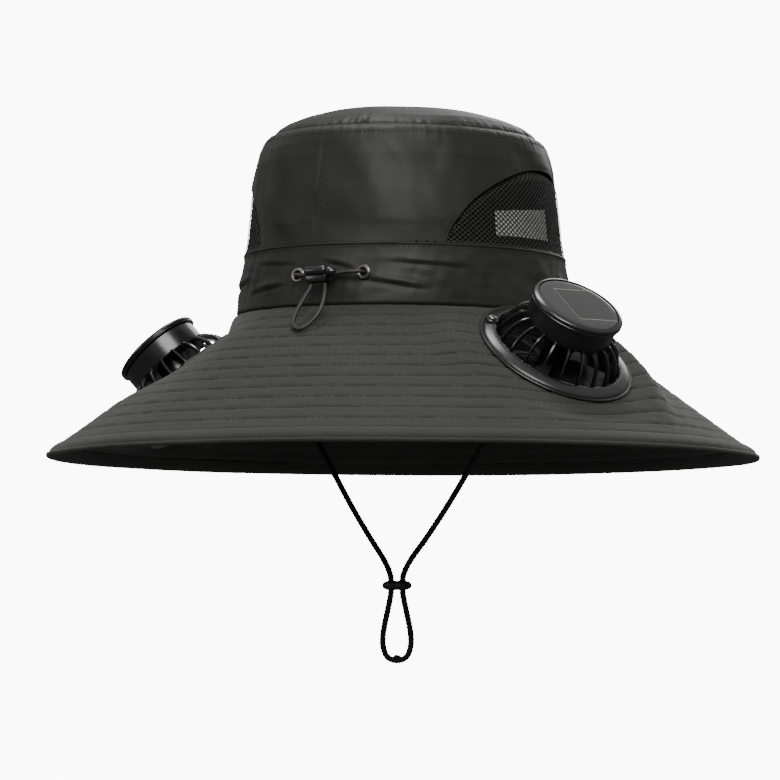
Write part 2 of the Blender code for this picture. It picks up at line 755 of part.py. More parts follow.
def build_outlet(seat, parts, cutters):
    """Ring that clamps the fan from below, with bars across the outlet."""
    high = -BRIM_CLOTH - 3.0 * GAP
    shelf = -DUCT_DEPTH - GAP
    low = -OUTLET_DEPTH
    collar = DUCT_RADIUS + GAP
    inner = DUCT_RADIUS - DUCT_WALL - 0.0010
    outlet = turned(
        "fan_outlet_" + seat.side,
        [(OUTLET_RADIUS, high), (OUTLET_RADIUS, high - 0.0014), (OUTLET_RADIUS - 0.0040, low),
         (inner, low), (inner, shelf), (collar, shelf), (collar, high)],
        True, FAN_STEPS, parts)
    bm = bmesh.new()
    for index in range(OUTLET_BAR_COUNT // 2):
        made = bmesh.ops.create_cube(bm, size=1.0)["verts"]
        bmesh.ops.scale(
            bm, verts=made, vec=(2.0 * inner + 0.0020, OUTLET_BAR_WIDTH, (shelf - low) * 0.8))
        bmesh.ops.translate(bm, verts=made, vec=(0.0, 0.0, (shelf + low) / 2.0))
        bmesh.ops.rotate(
            bm, verts=made,
            matrix=Matrix.Rotation(2.0 * math.pi * index / OUTLET_BAR_COUNT, 3, "Z"))
    bars = object_from_bmesh("bars_" + seat.side, bm, cutters)
    boss = cylinder(
        "boss_" + seat.side, HUB_RADIUS, low + (shelf - low) * 0.05,
        shelf - (shelf - low) * 0.05, 12, cutters)
    for helper in (bars, boss):
        helper.matrix_world = fan_frame(seat)
    modifier = bars.modifiers.new("one_body", "BOOLEAN")
    modifier.operation = "UNION"
    modifier.object = as_cutter(boss)
    modifier.use_self = True
    add_boolean(outlet, as_cutter(bars), "UNION")
    finish_material(outlet, "moulding")
    return outlet


def build_fan(seat, parts, cutters):
    """One fan: every piece hangs on an empty that stands on the brim, Z along the fan's axis."""
    carrier = bpy.data.objects.new("fan_" + seat.side, None)
    parts.objects.link(carrier)
    carrier.matrix_world = fan_frame(seat)
    flange, screw, screw_place = build_flange(seat, parts, cutters)
    pieces = [flange, screw, build_housing(seat, parts, cutters)]
    pieces += build_cap(seat, parts)
    pieces.append(build_impeller(seat, parts, cutters))
    pieces.append(build_outlet(seat, parts, cutters))
    for piece in pieces:
        piece.parent = carrier
    screw.location = screw_place


# Drawcord and its lock

def eyelet_frame(eyelet):
    """Matrix of an eyelet: its origin on the band's outer face and its Z pointing outwards."""
    angle = math.radians(eyelet.around_deg)
    outward = crown_normal(angle, eyelet.height)
    turn = outward.to_track_quat("Z", "Y").to_matrix().to_4x4()
    return Matrix.Translation(crown_point(angle, eyelet.height)) @ turn


def eyelet_hole(eyelet, cutters):
    hole = cylinder(
        "eyelet_hole_" + eyelet.side, EYELET_NECK + GAP, -2.0 * BAND_CLOTH, BAND_CLOTH, 12,
        cutters)
    hole.matrix_world = eyelet_frame(eyelet)
    return hole


def build_eyelets(parts):
    for eyelet in EYELETS:
        low = GAP * 1.5
        ring = turned(
            "eyelet_" + eyelet.side,
            [(EYELET_RADIUS, low + EYELET_LIP * 0.5), (EYELET_RADIUS, low),
             (EYELET_NECK, low), (EYELET_NECK, -EYELET_DEPTH), (EYELET_BORE, -EYELET_DEPTH),
             (EYELET_BORE, low + EYELET_LIP * 0.6), (EYELET_NECK, low + EYELET_LIP)],
            True, 12, parts)
        ring.matrix_world = eyelet_frame(eyelet)
        finish_material(ring, "dark_nickel")


def smooth_route(points, spacing):
    """Points a given distance apart on a smooth curve through the route's own points."""
    points = [Vector(point) for point in points]
    first = points[0] * 2.0 - points[1]
    last = points[-1] * 2.0 - points[-2]
    padded = [first] + points + [last]
    fine = []
    steps = 12
    for a, b, c, d in zip(padded, padded[1:], padded[2:], padded[3:]):
        for step in range(steps):
            t = step / steps
            fine.append(0.5 * (
                2.0 * b + (c - a) * t + (2.0 * a - 5.0 * b + 4.0 * c - d) * t * t
                + (3.0 * b - a - 3.0 * c + d) * t * t * t))
    fine.append(points[-1])
    length = sum((b - a).length for a, b in zip(fine, fine[1:]))
    count = max(round(length / spacing), 2)
    result = [fine[0]]
    travelled = 0.0
    for a, b in zip(fine, fine[1:]):
        step = (b - a).length
        while len(result) < count and travelled + step >= length * len(result) / count:
            along = (length * len(result) / count - travelled) / step
            result.append(a.lerp(b, along))
        travelled += step
    result.append(fine[-1])
    return result


def cord_tube(name, points, diameter, collection):
    """Round cord along a list of points, with flat closed ends."""
    curve = bpy.data.curves.new(name, "CURVE")
    curve.dimensions = "3D"
    curve.bevel_depth = diameter / 2.0
    curve.bevel_resolution = 2
    curve.use_fill_caps = True
    spline = curve.splines.new("POLY")
    spline.points.add(len(points) - 1)
    for target, point in zip(spline.points, points):
        target.co = (*point, 1.0)
    cord = bpy.data.objects.new(name, curve)
    collection.objects.link(cord)
    return cord


def cord_cutter(name, points, diameter, collection):
    """Cord-shaped cutter: the tube turned into a mesh with its caps welded."""
    tube = cord_tube(name + "_curve", points, diameter, collection)
    bpy.context.view_layer.update()
    evaluated = tube.evaluated_get(bpy.context.evaluated_depsgraph_get())
    mesh = bpy.data.meshes.new_from_object(evaluated)
    bm = bmesh.new()
    bm.from_mesh(mesh)
    bmesh.ops.remove_doubles(bm, verts=bm.verts, dist=1.0e-6)
    cutter = object_from_bmesh(name, bm, collection)
    cutter.matrix_world = tube.matrix_world
    bpy.data.objects.remove(tube, do_unlink=True)
    return as_cutter(cutter)


def lock_centre():
    return Vector((LOCK_ACROSS, -OPENING_LENGTH / 2.0 - LOCK_STANDOFF, LOCK_HEIGHT))


def build_drawcord(parts, cutters):
    spacing = DRAWCORD_DIAMETER * 2.0
    route = [(x, -OPENING_LENGTH / 2.0 - out, z) for x, out, z in DRAWCORD_ROUTE]
    points = smooth_route(route, spacing)
    cord = cord_tube("drawcord", points, DRAWCORD_DIAMETER, parts)
    finish_material(cord, "cord")

    bm = bmesh.new()
    bmesh.ops.create_cube(bm, size=1.0)
    bmesh.ops.scale(bm, verts=bm.verts, vec=LOCK_SIZE)
    lock = object_from_bmesh("cord_lock_body", bm, parts)
    lock.location = lock_centre()
    rounding = lock.modifiers.new("rounding", "BEVEL")
    rounding.width = LOCK_ROUNDING
    rounding.segments = 1
    add_boolean(lock, button_bore(cutters), "DIFFERENCE")
    bore = DRAWCORD_DIAMETER + 2.0 * GAP
    add_boolean(lock, cord_cutter("cord_bore", points, bore, cutters), "DIFFERENCE")
    finish_material(lock, "gloss_moulding")

    button = turned(
        "cord_lock_button",
        [(0.0, BUTTON_LENGTH), (BUTTON_RADIUS * 0.62, BUTTON_LENGTH),
         (BUTTON_RADIUS * 0.80, BUTTON_LENGTH - 0.0006), (BUTTON_RADIUS, BUTTON_LENGTH * 0.3),
         (BUTTON_RADIUS, 0.0), (BUTTON_STEM_RADIUS, 0.0),
         (BUTTON_STEM_RADIUS, -BUTTON_STEM_LENGTH), (0.0, -BUTTON_STEM_LENGTH)],
        False, 16, parts)
    button.matrix_world = button_frame()
    finish_material(button, "gloss_moulding")


def button_frame():
    """Matrix of the press button: its Z points out of the lock, along +X."""
    place = lock_centre() + Vector((LOCK_SIZE[0] / 2.0 - GAP, 0.0, BUTTON_RAISE))
    return Matrix.Translation(place) @ Matrix.Rotation(math.pi / 2.0, 4, "Y")


def button_bore(cutters):
    """Stepped hole in the lock: wide for the button's head, narrow for its stem."""
    head = BUTTON_RADIUS + GAP
    stem = BUTTON_STEM_RADIUS + GAP
    low = -BUTTON_TRAVEL - GAP
    deep = -BUTTON_STEM_LENGTH - BUTTON_TRAVEL - GAP
    bore = turned(
        "button_bore",
        [(0.0, 0.0040), (head, 0.0040), (head, low), (stem, low), (stem, deep), (0.0, deep)],
        False, 16, cutters)
    bore.matrix_world = button_frame()
    return as_cutter(bore)


# Chin cord

def build_chin_cord(parts, cutters):
    for side, sign in (("left", -1.0), ("right", 1.0)):
        route = [(sign * x, y, z) for x, y, z in CHIN_ROUTE]
        cord = cord_tube(
            "chin_cord_" + side, smooth_route(route, CHIN_CORD_SPACING), CHIN_CORD_DIAMETER, parts)
        finish_material(cord, "cord")
        build_clamp(side, sign, parts)

    bm = bmesh.new()
    bmesh.ops.create_cube(bm, size=1.0)
    bmesh.ops.scale(bm, verts=bm.verts, vec=SLIDER_SIZE)
    slider = object_from_bmesh("chin_slider", bm, parts)
    slider.location = SLIDER_CENTRE
    rounding = slider.modifiers.new("rounding", "BEVEL")
    rounding.width = SLIDER_SIZE[2] * 0.30
    rounding.segments = 1
    for side, sign in (("left", -1.0), ("right", 1.0)):
        hole = cylinder(
            "slider_hole_" + side, CHIN_CORD_DIAMETER / 2.0 + SLIDER_HOLE_CLEARANCE,
            -SLIDER_SIZE[2], SLIDER_SIZE[2], 12, cutters)
        hole.location = Vector(SLIDER_CENTRE) + Vector((sign * SLIDER_HOLE_SPREAD / 2.0, 0.0, 0.0))
        add_boolean(slider, as_cutter(hole), "DIFFERENCE")
    finish_material(slider, "cord")

    bm = bmesh.new()
    bmesh.ops.create_uvsphere(bm, u_segments=10, v_segments=6, radius=0.5)
    bmesh.ops.scale(bm, verts=bm.verts, vec=KNOT_SIZE)
    knot = object_from_bmesh("chin_knot", bm, parts)
    knot.location = KNOT_CENTRE
    smooth(knot)
    finish_material(knot, "cord")


def build_clamp(side, sign, parts):
    """Small block on the band's inner face that holds an end of the chin cord."""
    face = crown_point(math.pi / 2.0, CLAMP_LOW, BAND_CLOTH + GAP).x
    slope = crown_point(math.pi / 2.0, CLAMP_HIGH, BAND_CLOTH + GAP).x
    bm = bmesh.new()
    made = bmesh.ops.create_cube(bm, size=1.0)["verts"]
    bmesh.ops.scale(bm, verts=made, vec=(CLAMP_DEPTH, CLAMP_WIDTH, CLAMP_HIGH - CLAMP_LOW))
    bmesh.ops.translate(
        bm, verts=made,
        vec=(min(face, slope) - 2.0 * GAP - CLAMP_DEPTH / 2.0, 0.0, (CLAMP_HIGH + CLAMP_LOW) / 2.0))
    clamp = object_from_bmesh("chin_clamp_" + side, bm, parts)
    clamp.location = (0.0, CHIN_ROUTE[0][1], 0.0)
    if sign < 0.0:
        clamp.rotation_euler = (0.0, 0.0, math.pi)
    finish_material(clamp, "moulding")


def main():
    clear_scene()
    parts = new_collection("solar_fan_hat")
    cutters = new_collection("cutters")
    build_crown(parts, cutters)
    build_brim(parts, cutters)
    for seat in FAN_SEATS:
        build_fan(seat, parts, cutters)
    build_eyelets(parts)
    build_drawcord(parts, cutters)
    build_chin_cord(parts, cutters)
    bpy.context.view_layer.update()


main()
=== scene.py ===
"""Wide-brimmed sun hat with two solar fans, a drawcord and a chin cord, seen from the rear."""

import math

import bmesh
import bpy
import numpy as np
from mathutils import Matrix, Vector, noise


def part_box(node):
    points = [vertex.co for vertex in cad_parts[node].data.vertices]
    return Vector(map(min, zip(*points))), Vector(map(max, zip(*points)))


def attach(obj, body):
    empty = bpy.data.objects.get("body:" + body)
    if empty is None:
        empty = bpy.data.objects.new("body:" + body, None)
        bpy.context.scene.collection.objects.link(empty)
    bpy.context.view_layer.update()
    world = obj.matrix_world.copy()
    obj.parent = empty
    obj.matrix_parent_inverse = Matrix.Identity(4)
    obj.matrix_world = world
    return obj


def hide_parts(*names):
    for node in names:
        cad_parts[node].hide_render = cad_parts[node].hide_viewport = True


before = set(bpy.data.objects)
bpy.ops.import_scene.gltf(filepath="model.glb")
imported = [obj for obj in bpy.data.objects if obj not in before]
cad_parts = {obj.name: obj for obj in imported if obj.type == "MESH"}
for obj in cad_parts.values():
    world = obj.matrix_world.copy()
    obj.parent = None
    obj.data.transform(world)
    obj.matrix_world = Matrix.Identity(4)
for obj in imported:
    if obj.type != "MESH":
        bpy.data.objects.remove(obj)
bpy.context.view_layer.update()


# Camera, studio and backdrop
# A long lens a little below the brim, turned to the hat's rear right, as in the photograph. Four
# soft boxes and a pale room light the hat; the backdrop is far below and white.

VIEW_TURN = math.radians(28.0)
VIEW_BELOW = math.radians(4.56)
VIEW_DISTANCE = 2.2

view_back = Vector((
    math.sin(VIEW_TURN) * math.cos(VIEW_BELOW),
    -math.cos(VIEW_TURN) * math.cos(VIEW_BELOW),
    -math.sin(VIEW_BELOW)))
view_right = Vector((math.cos(VIEW_TURN), math.sin(VIEW_TURN), 0.0))
view_up = view_back.cross(view_right)

camera = bpy.data.objects.new("camera", bpy.data.cameras.new("camera"))
bpy.context.scene.collection.objects.link(camera)
camera.matrix_world = Matrix.Translation(view_back * VIEW_DISTANCE) @ Matrix(
    (view_right, view_up, view_back)).transposed().to_4x4()
camera.data.lens = 188.08
camera.data.sensor_width = 36.0
camera.data.shift_x = -0.0201
camera.data.shift_y = -0.0899
camera.data.clip_end = 60.0
bpy.context.scene.camera = camera


def soft_box(name, along_right, along_up, along_back, size, watts):
    """Square area light that faces the hat, placed in the camera's own directions from it."""
    light = bpy.data.lights.new(name, "AREA")
    light.size = size
    light.energy = watts
    lamp = bpy.data.objects.new(name, light)
    bpy.context.scene.collection.objects.link(lamp)
    place = view_right * along_right + view_up * along_up + view_back * along_back
    facing = (-place).to_track_quat("-Z", "Y")
    lamp.matrix_world = Matrix.Translation(place) @ facing.to_matrix().to_4x4()


soft_box("key_box", 0.15, 1.1, 1.25, 0.9, 17.0)
soft_box("top_box", -0.1, 1.6, -0.35, 0.50, 9.0)
soft_box("left_strip", -1.3, 0.35, 0.5, 0.5, 1.5)
soft_box("back_box", 0.5, 0.7, -1.5, 0.8, 6.0)

room = bpy.data.worlds.new("white_room")
room.use_nodes = True
room_nodes = room.node_tree.nodes
room_links = room.node_tree.links
room_light = room_nodes["Background"]
room_seen = room_nodes.new("ShaderNodeBackground")
room_seen.inputs["Strength"].default_value = 13.0
height = room_nodes.new("ShaderNodeSeparateXYZ")
room_links.new(room_nodes.new("ShaderNodeTexCoord").outputs["Generated"], height.inputs[0])
fade = room_nodes.new("ShaderNodeValToRGB")
fade.color_ramp.elements[0].position = 0.42
fade.color_ramp.elements[0].color = (0.06, 0.06, 0.06, 1.0)
fade.color_ramp.elements[1].position = 0.85
fade.color_ramp.elements[1].color = (0.45, 0.45, 0.45, 1.0)
lift = room_nodes.new("ShaderNodeMath")
lift.operation = "MULTIPLY_ADD"
lift.inputs[1].default_value = 0.5
lift.inputs[2].default_value = 0.5
room_links.new(height.outputs["Z"], lift.inputs[0])
room_links.new(lift.outputs[0], fade.inputs[0])
room_links.new(fade.outputs["Color"], room_light.inputs["Color"])
room_light.inputs["Strength"].default_value = 1.0
room_mix = room_nodes.new("ShaderNodeMixShader")
room_links.new(room_nodes.new("ShaderNodeLightPath").outputs["Is Camera Ray"], room_mix.inputs[0])
room_links.new(room_light.outputs[0], room_mix.inputs[1])
room_links.new(room_seen.outputs[0], room_mix.inputs[2])
room_links.new(room_mix.outputs[0], room_nodes["World Output"].inputs["Surface"])
bpy.context.scene.world = room

bm = bmesh.new()
bmesh.ops.create_grid(bm, x_segments=1, y_segments=1, size=14.0)
bmesh.ops.translate(bm, verts=bm.verts, vec=(0.0, 0.0, -0.45))
backdrop_mesh = bpy.data.meshes.new("backdrop")
bm.to_mesh(backdrop_mesh)
bm.free()
backdrop = bpy.data.objects.new("backdrop", backdrop_mesh)
bpy.context.scene.collection.objects.link(backdrop)
paper = bpy.data.materials.new("white_paper")
paper.use_nodes = True
paper_shader = paper.node_tree.nodes["Principled BSDF"]
paper_shader.inputs["Base Color"].default_value = (0.12, 0.12, 0.12, 1.0)
paper_shader.inputs["Roughness"].default_value = 1.0
paper_shader.inputs["Emission Color"].default_value = (1.0, 1.0, 1.0, 1.0)
paper_seen = paper.node_tree.nodes.new("ShaderNodeLightPath")
paper_glow = paper.node_tree.nodes.new("ShaderNodeMath")
paper_glow.operation = "MULTIPLY"
paper_glow.inputs[1].default_value = 10.5
paper.node_tree.links.new(paper_seen.outputs["Is Camera Ray"], paper_glow.inputs[0])
paper.node_tree.links.new(paper_glow.outputs[0], paper_shader.inputs["Emission Strength"])
backdrop_mesh.materials.append(paper)


# Chin cord, with its slider and knot
# Thin black braided polyester cord from a clamp inside the crown, down through a moulded slider
# to one tied knot. The two strands hang slack and almost meet at the slider.

# a braid's relief takes some of its thickness, so its tube is drawn a little thicker
BRAID_SWELL = 1.1
CHIN_CORD_DIAMETER = 0.0030
CHIN_ROUTE = [
    (0.0824, -0.0040, 0.0007), (0.0816, -0.0040, -0.0080), (0.0766, -0.0041, -0.0220),
    (0.0682, -0.0043, -0.0380), (0.0598, -0.0045, -0.0522), (0.0513, -0.0046, -0.0658),
    (0.0408, -0.0057, -0.0824), (0.0296, -0.0069, -0.1000), (0.0175, -0.0082, -0.1172),
    (0.0085, -0.0094, -0.1290), (0.0041, -0.0100, -0.1372), (0.0036, -0.0100, -0.1432),
    (0.0038, -0.0100, -0.1485), (0.0059, -0.0100, -0.1577), (0.0081, -0.0100, -0.1675),
    (0.0085, -0.0100, -0.1745), (0.0068, -0.0100, -0.1800), (0.0040, -0.0100, -0.1824),
]
CHIN_TAIL = (0.0014, -0.0100, -0.1832)
SLIDER_CENTRE = Vector((0.0, -0.0100, -0.1432))
KNOT_CENTRE = Vector((0.0, -0.0100, -0.1829))


class Wire:
    """A shader socket that can be used in sums; each sum adds its Math node."""

    def __init__(self, socket):
        self.socket = socket

    def node(self, kind, settings=None, inputs=None, output=0):
        """Another node: its settings first, then its sockets' values or links."""
        tree = self.socket.id_data
        made = tree.nodes.new(kind)
        for name, value in (settings or {}).items():
            setattr(made, name, value)
        for name, value in (inputs or {}).items():
            if isinstance(value, Wire):
                tree.links.new(value.socket, made.inputs[name])
            else:
                made.inputs[name].default_value = value
        return Wire(made.outputs[output])

    def cloud(self, scale, detail):
        """Noise texture over these coordinates."""
        return self.node(
            "ShaderNodeTexNoise", {}, {"Vector": self, "Scale": scale, "Detail": detail})

    def sum(self, operation, *terms):
        return self.node("ShaderNodeMath", {"operation": operation}, dict(enumerate(terms)))

    def __add__(self, other):
        return self.sum("ADD", self, other)

    __radd__ = __add__

    def __sub__(self, other):
        return self.sum("SUBTRACT", self, other)

    def __rsub__(self, other):
        return self.sum("SUBTRACT", other, self)

    def __mul__(self, other):
        return self.sum("MULTIPLY", self, other)

    __rmul__ = __mul__

    def __truediv__(self, other):
        return self.sum("DIVIDE", self, other)

    def mix(self, dark, light):
        """Colour between two colours, with this value as the factor."""
        colours = {}
        for place, colour in ((6, dark), (7, light)):
            colours[place] = colour if isinstance(colour, Wire) else (*colour, 1.0)
        return self.node("ShaderNodeMix", {"data_type": "RGBA"}, {0: self, **colours}, output=2)

    def feed(self, shader, name):
        """Link this value to a socket of the material's shader."""
        self.socket.id_data.links.new(self.socket, shader.inputs[name])

    def feed_bump(self, shader, strength, distance):
        bump = self.node(
            "ShaderNodeBump", {}, {"Strength": strength, "Distance": distance, "Height": self})
        bump.feed(shader, "Normal")


def new_material(name, colour, roughness, metallic=0.0, **constants):
    """A material, its shader, its Object coordinates and its UV coordinates."""
    material = bpy.data.materials.new(name)
    material.use_nodes = True
    shader = material.node_tree.nodes["Principled BSDF"]
    shader.inputs["Base Color"].default_value = (*colour, 1.0)
    shader.inputs["Roughness"].default_value = roughness
    shader.inputs["Metallic"].default_value = metallic
    for socket, value in constants.items():
        shader.inputs[socket.replace("_", " ")].default_value = value
    coordinates = material.node_tree.nodes.new("ShaderNodeTexCoord")
    return material, shader, Wire(coordinates.outputs["Object"]), Wire(coordinates.outputs["UV"])


def grow_tube(bm, edges, places):
    """Extrude a ring of edges by one step to new places; returns the new verts and edges."""
    made = bmesh.ops.extrude_edge_only(bm, edges=edges)["geom"]
    ring = [item for item in made if isinstance(item, bmesh.types.BMVert)]
    edges = [item for item in made if isinstance(item, bmesh.types.BMEdge)
             and item.verts[0] in ring and item.verts[1] in ring]
    for vert, place in zip(ring, places):
        vert.co = place
    return ring, edges


def finish_piece(name, bm, material, body, replaced=(), smooth_deg=40.0):
    """Turn a bmesh into a smooth piece that rides on a body."""
    mesh = bpy.data.meshes.new(name)
    bm.to_mesh(mesh)
    bm.free()
    piece = bpy.data.objects.new(name, mesh)
    bpy.context.scene.collection.objects.link(piece)
    mesh.shade_smooth()
    if smooth_deg is not None:
        mesh.set_sharp_from_angle(angle=math.radians(smooth_deg))
    mesh.materials.append(material)
    if replaced:
        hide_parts(*replaced)
    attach(piece, body)
    return piece


def grained_material(
        name, colour, roughness, scale, detail, tones=None, uneven=None, bump=None, metallic=0.0,
        **constants):
    """A material that follows one fine noise.

    tones is its dark and light colour, uneven the gain and base of its roughness, and bump the
    strength and distance of its relief.
    """
    material, shader, place, _ = new_material(name, colour, roughness, metallic, **constants)
    grain = place.cloud(scale, detail)
    if tones:
        grain.mix(*tones).feed(shader, "Base Color")
    if uneven:
        (grain * uneven[0] + uneven[1]).feed(shader, "Roughness")
    if bump:
        grain.feed_bump(shader, *bump)
    return material


def spun_column(column, steps, closed=False, merge=1.0e-5):
    """Bmesh of a column of points spun once about Z."""
    bm = bmesh.new()
    verts = [bm.verts.new(point) for point in column]
    edges = [bm.edges.new(pair) for pair in zip(verts, verts[1:])]
    if closed:
        edges.append(bm.edges.new((verts[-1], verts[0])))
    bmesh.ops.spin(
        bm, geom=verts + edges, axis=(0.0, 0.0, 1.0), cent=(0.0, 0.0, 0.0),
        angle=2.0 * math.pi, steps=steps, use_merge=True, use_duplicate=False)
    bmesh.ops.remove_doubles(bm, verts=bm.verts, dist=merge)
    return bm


def smooth_route(points, spacing):
    """Points a given distance apart on a smooth curve through the route's own points."""
    points = [Vector(point) for point in points]
    first = points[0] * 2.0 - points[1]
    last = points[-1] * 2.0 - points[-2]
    padded = [first] + points + [last]
    fine = []
    for a, b, c, d in zip(padded, padded[1:], padded[2:], padded[3:]):
        for step in range(40):
            t = step / 40
            fine.append(0.5 * (
                2.0 * b + (c - a) * t + (2.0 * a - 5.0 * b + 4.0 * c - d) * t * t
                + (3.0 * b - a - 3.0 * c + d) * t * t * t))
    fine.append(points[-1])
    length = sum((b - a).length for a, b in zip(fine, fine[1:]))
    count = max(round(length / spacing), 2)
    result = [fine[0]]
    travelled = 0.0
    for a, b in zip(fine, fine[1:]):
        step = (b - a).length
        while len(result) < count and travelled + step >= length * len(result) / count:
            along = (length * len(result) / count - travelled) / step
            result.append(a.lerp(b, along))
        travelled += step
    result.append(fine[-1])
    return result


def route_length(points):
    return sum((b - a).length for a, b in zip(points, points[1:]))


def braided_tube(points, radius, sides, plait):
    """Tube along points whose surface has a braid's raised strands, plait apart."""
    bm = bmesh.new()
    ring = bmesh.ops.create_circle(bm, segments=sides, radius=radius)["verts"]
    edges = list(bm.edges)
    side = Vector((0.0, 1.0, 0.0))
    travelled = 0.0
    first_ring = ring
    for number, point in enumerate(points):
        before = points[max(number - 1, 0)]
        after = points[min(number + 1, len(points) - 1)]
        along = (after - before).normalized()
        side = (side - along * side.dot(along)).normalized()
        across = along.cross(side)
        if number:
            travelled += (point - points[number - 1]).length
            ring, edges = grow_tube(bm, edges, [])
        for index, vert in enumerate(ring):
            angle = 2.0 * math.pi * index / sides
            phase = 2.0 * math.pi * travelled / plait
            strands = math.cos(3.0 * angle + phase) * math.cos(3.0 * angle - phase)
            reach = radius * (0.94 + 0.12 * strands)
            vert.co = point + side * (math.cos(angle) * reach) + across * (math.sin(angle) * reach)
    bm.faces.new(first_ring)
    bm.faces.new(ring)
    bmesh.ops.recalc_face_normals(bm, faces=bm.faces)
    return bm


cord_black = grained_material(
    "braided_cord", (0.012, 0.012, 0.012), 0.62, 2600.0, 3.0,
    tones=((0.006, 0.006, 0.006), (0.030, 0.030, 0.029)), uneven=(0.25, 0.50),
    bump=(0.4, 0.0002), Specular_IOR_Level=0.45)
cord_plastic = grained_material(
    "cord_plastic", (0.024, 0.024, 0.023), 0.38, 900.0, 4.0, uneven=(0.18, 0.30),
    bump=(0.25, 0.0001))

# slider: a rounded oval bead with two holes, waisted between them
bm = bmesh.new()
bmesh.ops.create_uvsphere(bm, u_segments=48, v_segments=24, radius=0.5)
for vert in bm.verts:
    x, y, z = vert.co * 2.0
    waist = 1.0 - 0.16 * math.exp(-(x / 0.32) ** 2)
    fat = math.copysign(abs(z) ** 0.75, z)
    vert.co = Vector((x * 0.0088, y * 0.0033 * waist, fat * 0.0030 * waist)) + SLIDER_CENTRE
slider = finish_piece(
    "chin_slider_bead", bm, cord_plastic, "hat", ["chin_slider"])

# knot: the two cord ends tied in one tight overhand turn
bm = bmesh.new()
bmesh.ops.create_uvsphere(bm, u_segments=32, v_segments=16, radius=1.0)
for vert in bm.verts:
    vert.co = Vector((vert.co.x * 0.0050, vert.co.y * 0.0021, vert.co.z * 0.0019)) + KNOT_CENTRE
for tilt, place, tall in ((0.62, -0.0011, 0.0015), (-0.50, 0.0012, 0.0013)):
    path = []
    for step in range(41):
        angle = 2.0 * math.pi * step / 40
        loop = Vector((place, math.cos(angle) * 0.0015, math.sin(angle) * tall))
        path.append(Matrix.Rotation(tilt, 3, "Y") @ loop + KNOT_CENTRE)
    part = braided_tube(path, 0.0011, 12, 0.0030)
    part_mesh = bpy.data.meshes.new("knot_turn")
    part.to_mesh(part_mesh)
    part.free()
    bm.from_mesh(part_mesh)
    bpy.data.meshes.remove(part_mesh)
knot = finish_piece("chin_cord_knot", bm, cord_black, "hat", ["chin_knot"])

for side, sign in (("left", -1.0), ("right", 1.0)):
    route = smooth_route([(sign * x, y, z) for x, y, z in CHIN_ROUTE + [CHIN_TAIL]], 0.0005)
    bm = braided_tube(route, CHIN_CORD_DIAMETER / 2.0 * BRAID_SWELL, 18, 0.0042)
    strand = finish_piece(
        "chin_strand_" + side, bm, cord_black, "hat", ["chin_cord_" + side])
    route_length(route)


# Drawcord
# Thin braided cord that comes out of one eyelet, runs through the press lock, hangs in a small
# loop on the brim and goes back into the other eyelet.

DRAWCORD_DIAMETER = 0.0020
DRAWCORD_ROUTE = [
    (0.0253, -0.0935, 0.0171), (0.0260, -0.0953, 0.0171), (0.0267, -0.0976, 0.0171),
    (0.0260, -0.1004, 0.0171), (0.0226, -0.1018, 0.0170), (0.0180, -0.1018, 0.0168),
    (0.0130, -0.1020, 0.0163), (0.0093, -0.1034, 0.0153), (0.0083, -0.1056, 0.0137),
    (0.0089, -0.1069, 0.0120), (0.0102, -0.1080, 0.0098), (0.0119, -0.1113, 0.0050),
    (0.0126, -0.1154, -0.0012), (0.0115, -0.1190, -0.0067), (0.0084, -0.1217, -0.0110),
    (0.0046, -0.1236, -0.0133), (0.0010, -0.1229, -0.0124), (-0.0015, -0.1208, -0.0096),
    (-0.0014, -0.1171, -0.0039), (0.0004, -0.1129, 0.0029), (0.0018, -0.1090, 0.0084),
    (0.0023, -0.1074, 0.0116), (0.0014, -0.1057, 0.0140), (-0.0014, -0.1042, 0.0156),
    (-0.0058, -0.1036, 0.0162), (-0.0096, -0.1032, 0.0165), (-0.0110, -0.1014, 0.0166),
    (-0.0106, -0.0994, 0.0166), (-0.0103, -0.0975, 0.0166),
]

pull_grey = grained_material(
    "drawcord_braid", (0.040, 0.040, 0.038), 0.50, 2200.0, 3.0,
    tones=((0.006, 0.006, 0.006), (0.070, 0.070, 0.066)), uneven=(0.25, 0.38),
    bump=(0.5, 0.0002), Specular_IOR_Level=0.5)

route = smooth_route(DRAWCORD_ROUTE, 0.0003)
bm = braided_tube(route, DRAWCORD_DIAMETER / 2.0 * BRAID_SWELL, 16, 0.0032)
pull_cord = finish_piece("drawcord_loop", bm, pull_grey, "hat", ["drawcord"])
route_length(route)


# Crown wall
# Satin polyester, sewn into an oval wall with a double-stitched seam at the rear. An arched
# window is cut in each side, its edge turned under and topstitched, for the net behind it.

OPENING_LENGTH = 0.2046
OPENING_WIDTH = 0.1750
CROWN_HEIGHT = 0.1150
TIP_SEAM_HEIGHT = 0.0970
BAND_HEIGHT = 0.0333
CROWN_CLOTH = 0.0014
# height above the head opening and width as a share of the opening
CROWN_SHAPE = [
    (0.0000, 1.000), (0.0190, 0.974), (0.0420, 0.937), (0.0615, 0.916), (0.0710, 0.902),
    (0.0810, 0.885), (0.0874, 0.866), (0.0906, 0.852), (0.0940, 0.834), (0.0970, 0.804),
    (0.1004, 0.763), (0.1036, 0.709), (0.1070, 0.620), (0.1100, 0.504), (0.1128, 0.350),
    (0.1144, 0.170), (0.1150, 0.000)]
ARCH_CENTRES = {"left": -82.0, "right": 97.0}
ARCH_HALF = 51
ARCH_HEIGHT = 0.0440
ARCH_ROUNDNESS = 0.65
# millimetres of window for each degree round the crown
ARCH_PER_DEGREE = 1.786


def crown_width(height):
    heights = [row[0] for row in CROWN_SHAPE]
    widths = [row[1] for row in CROWN_SHAPE]
    return float(np.interp(height, heights, widths))


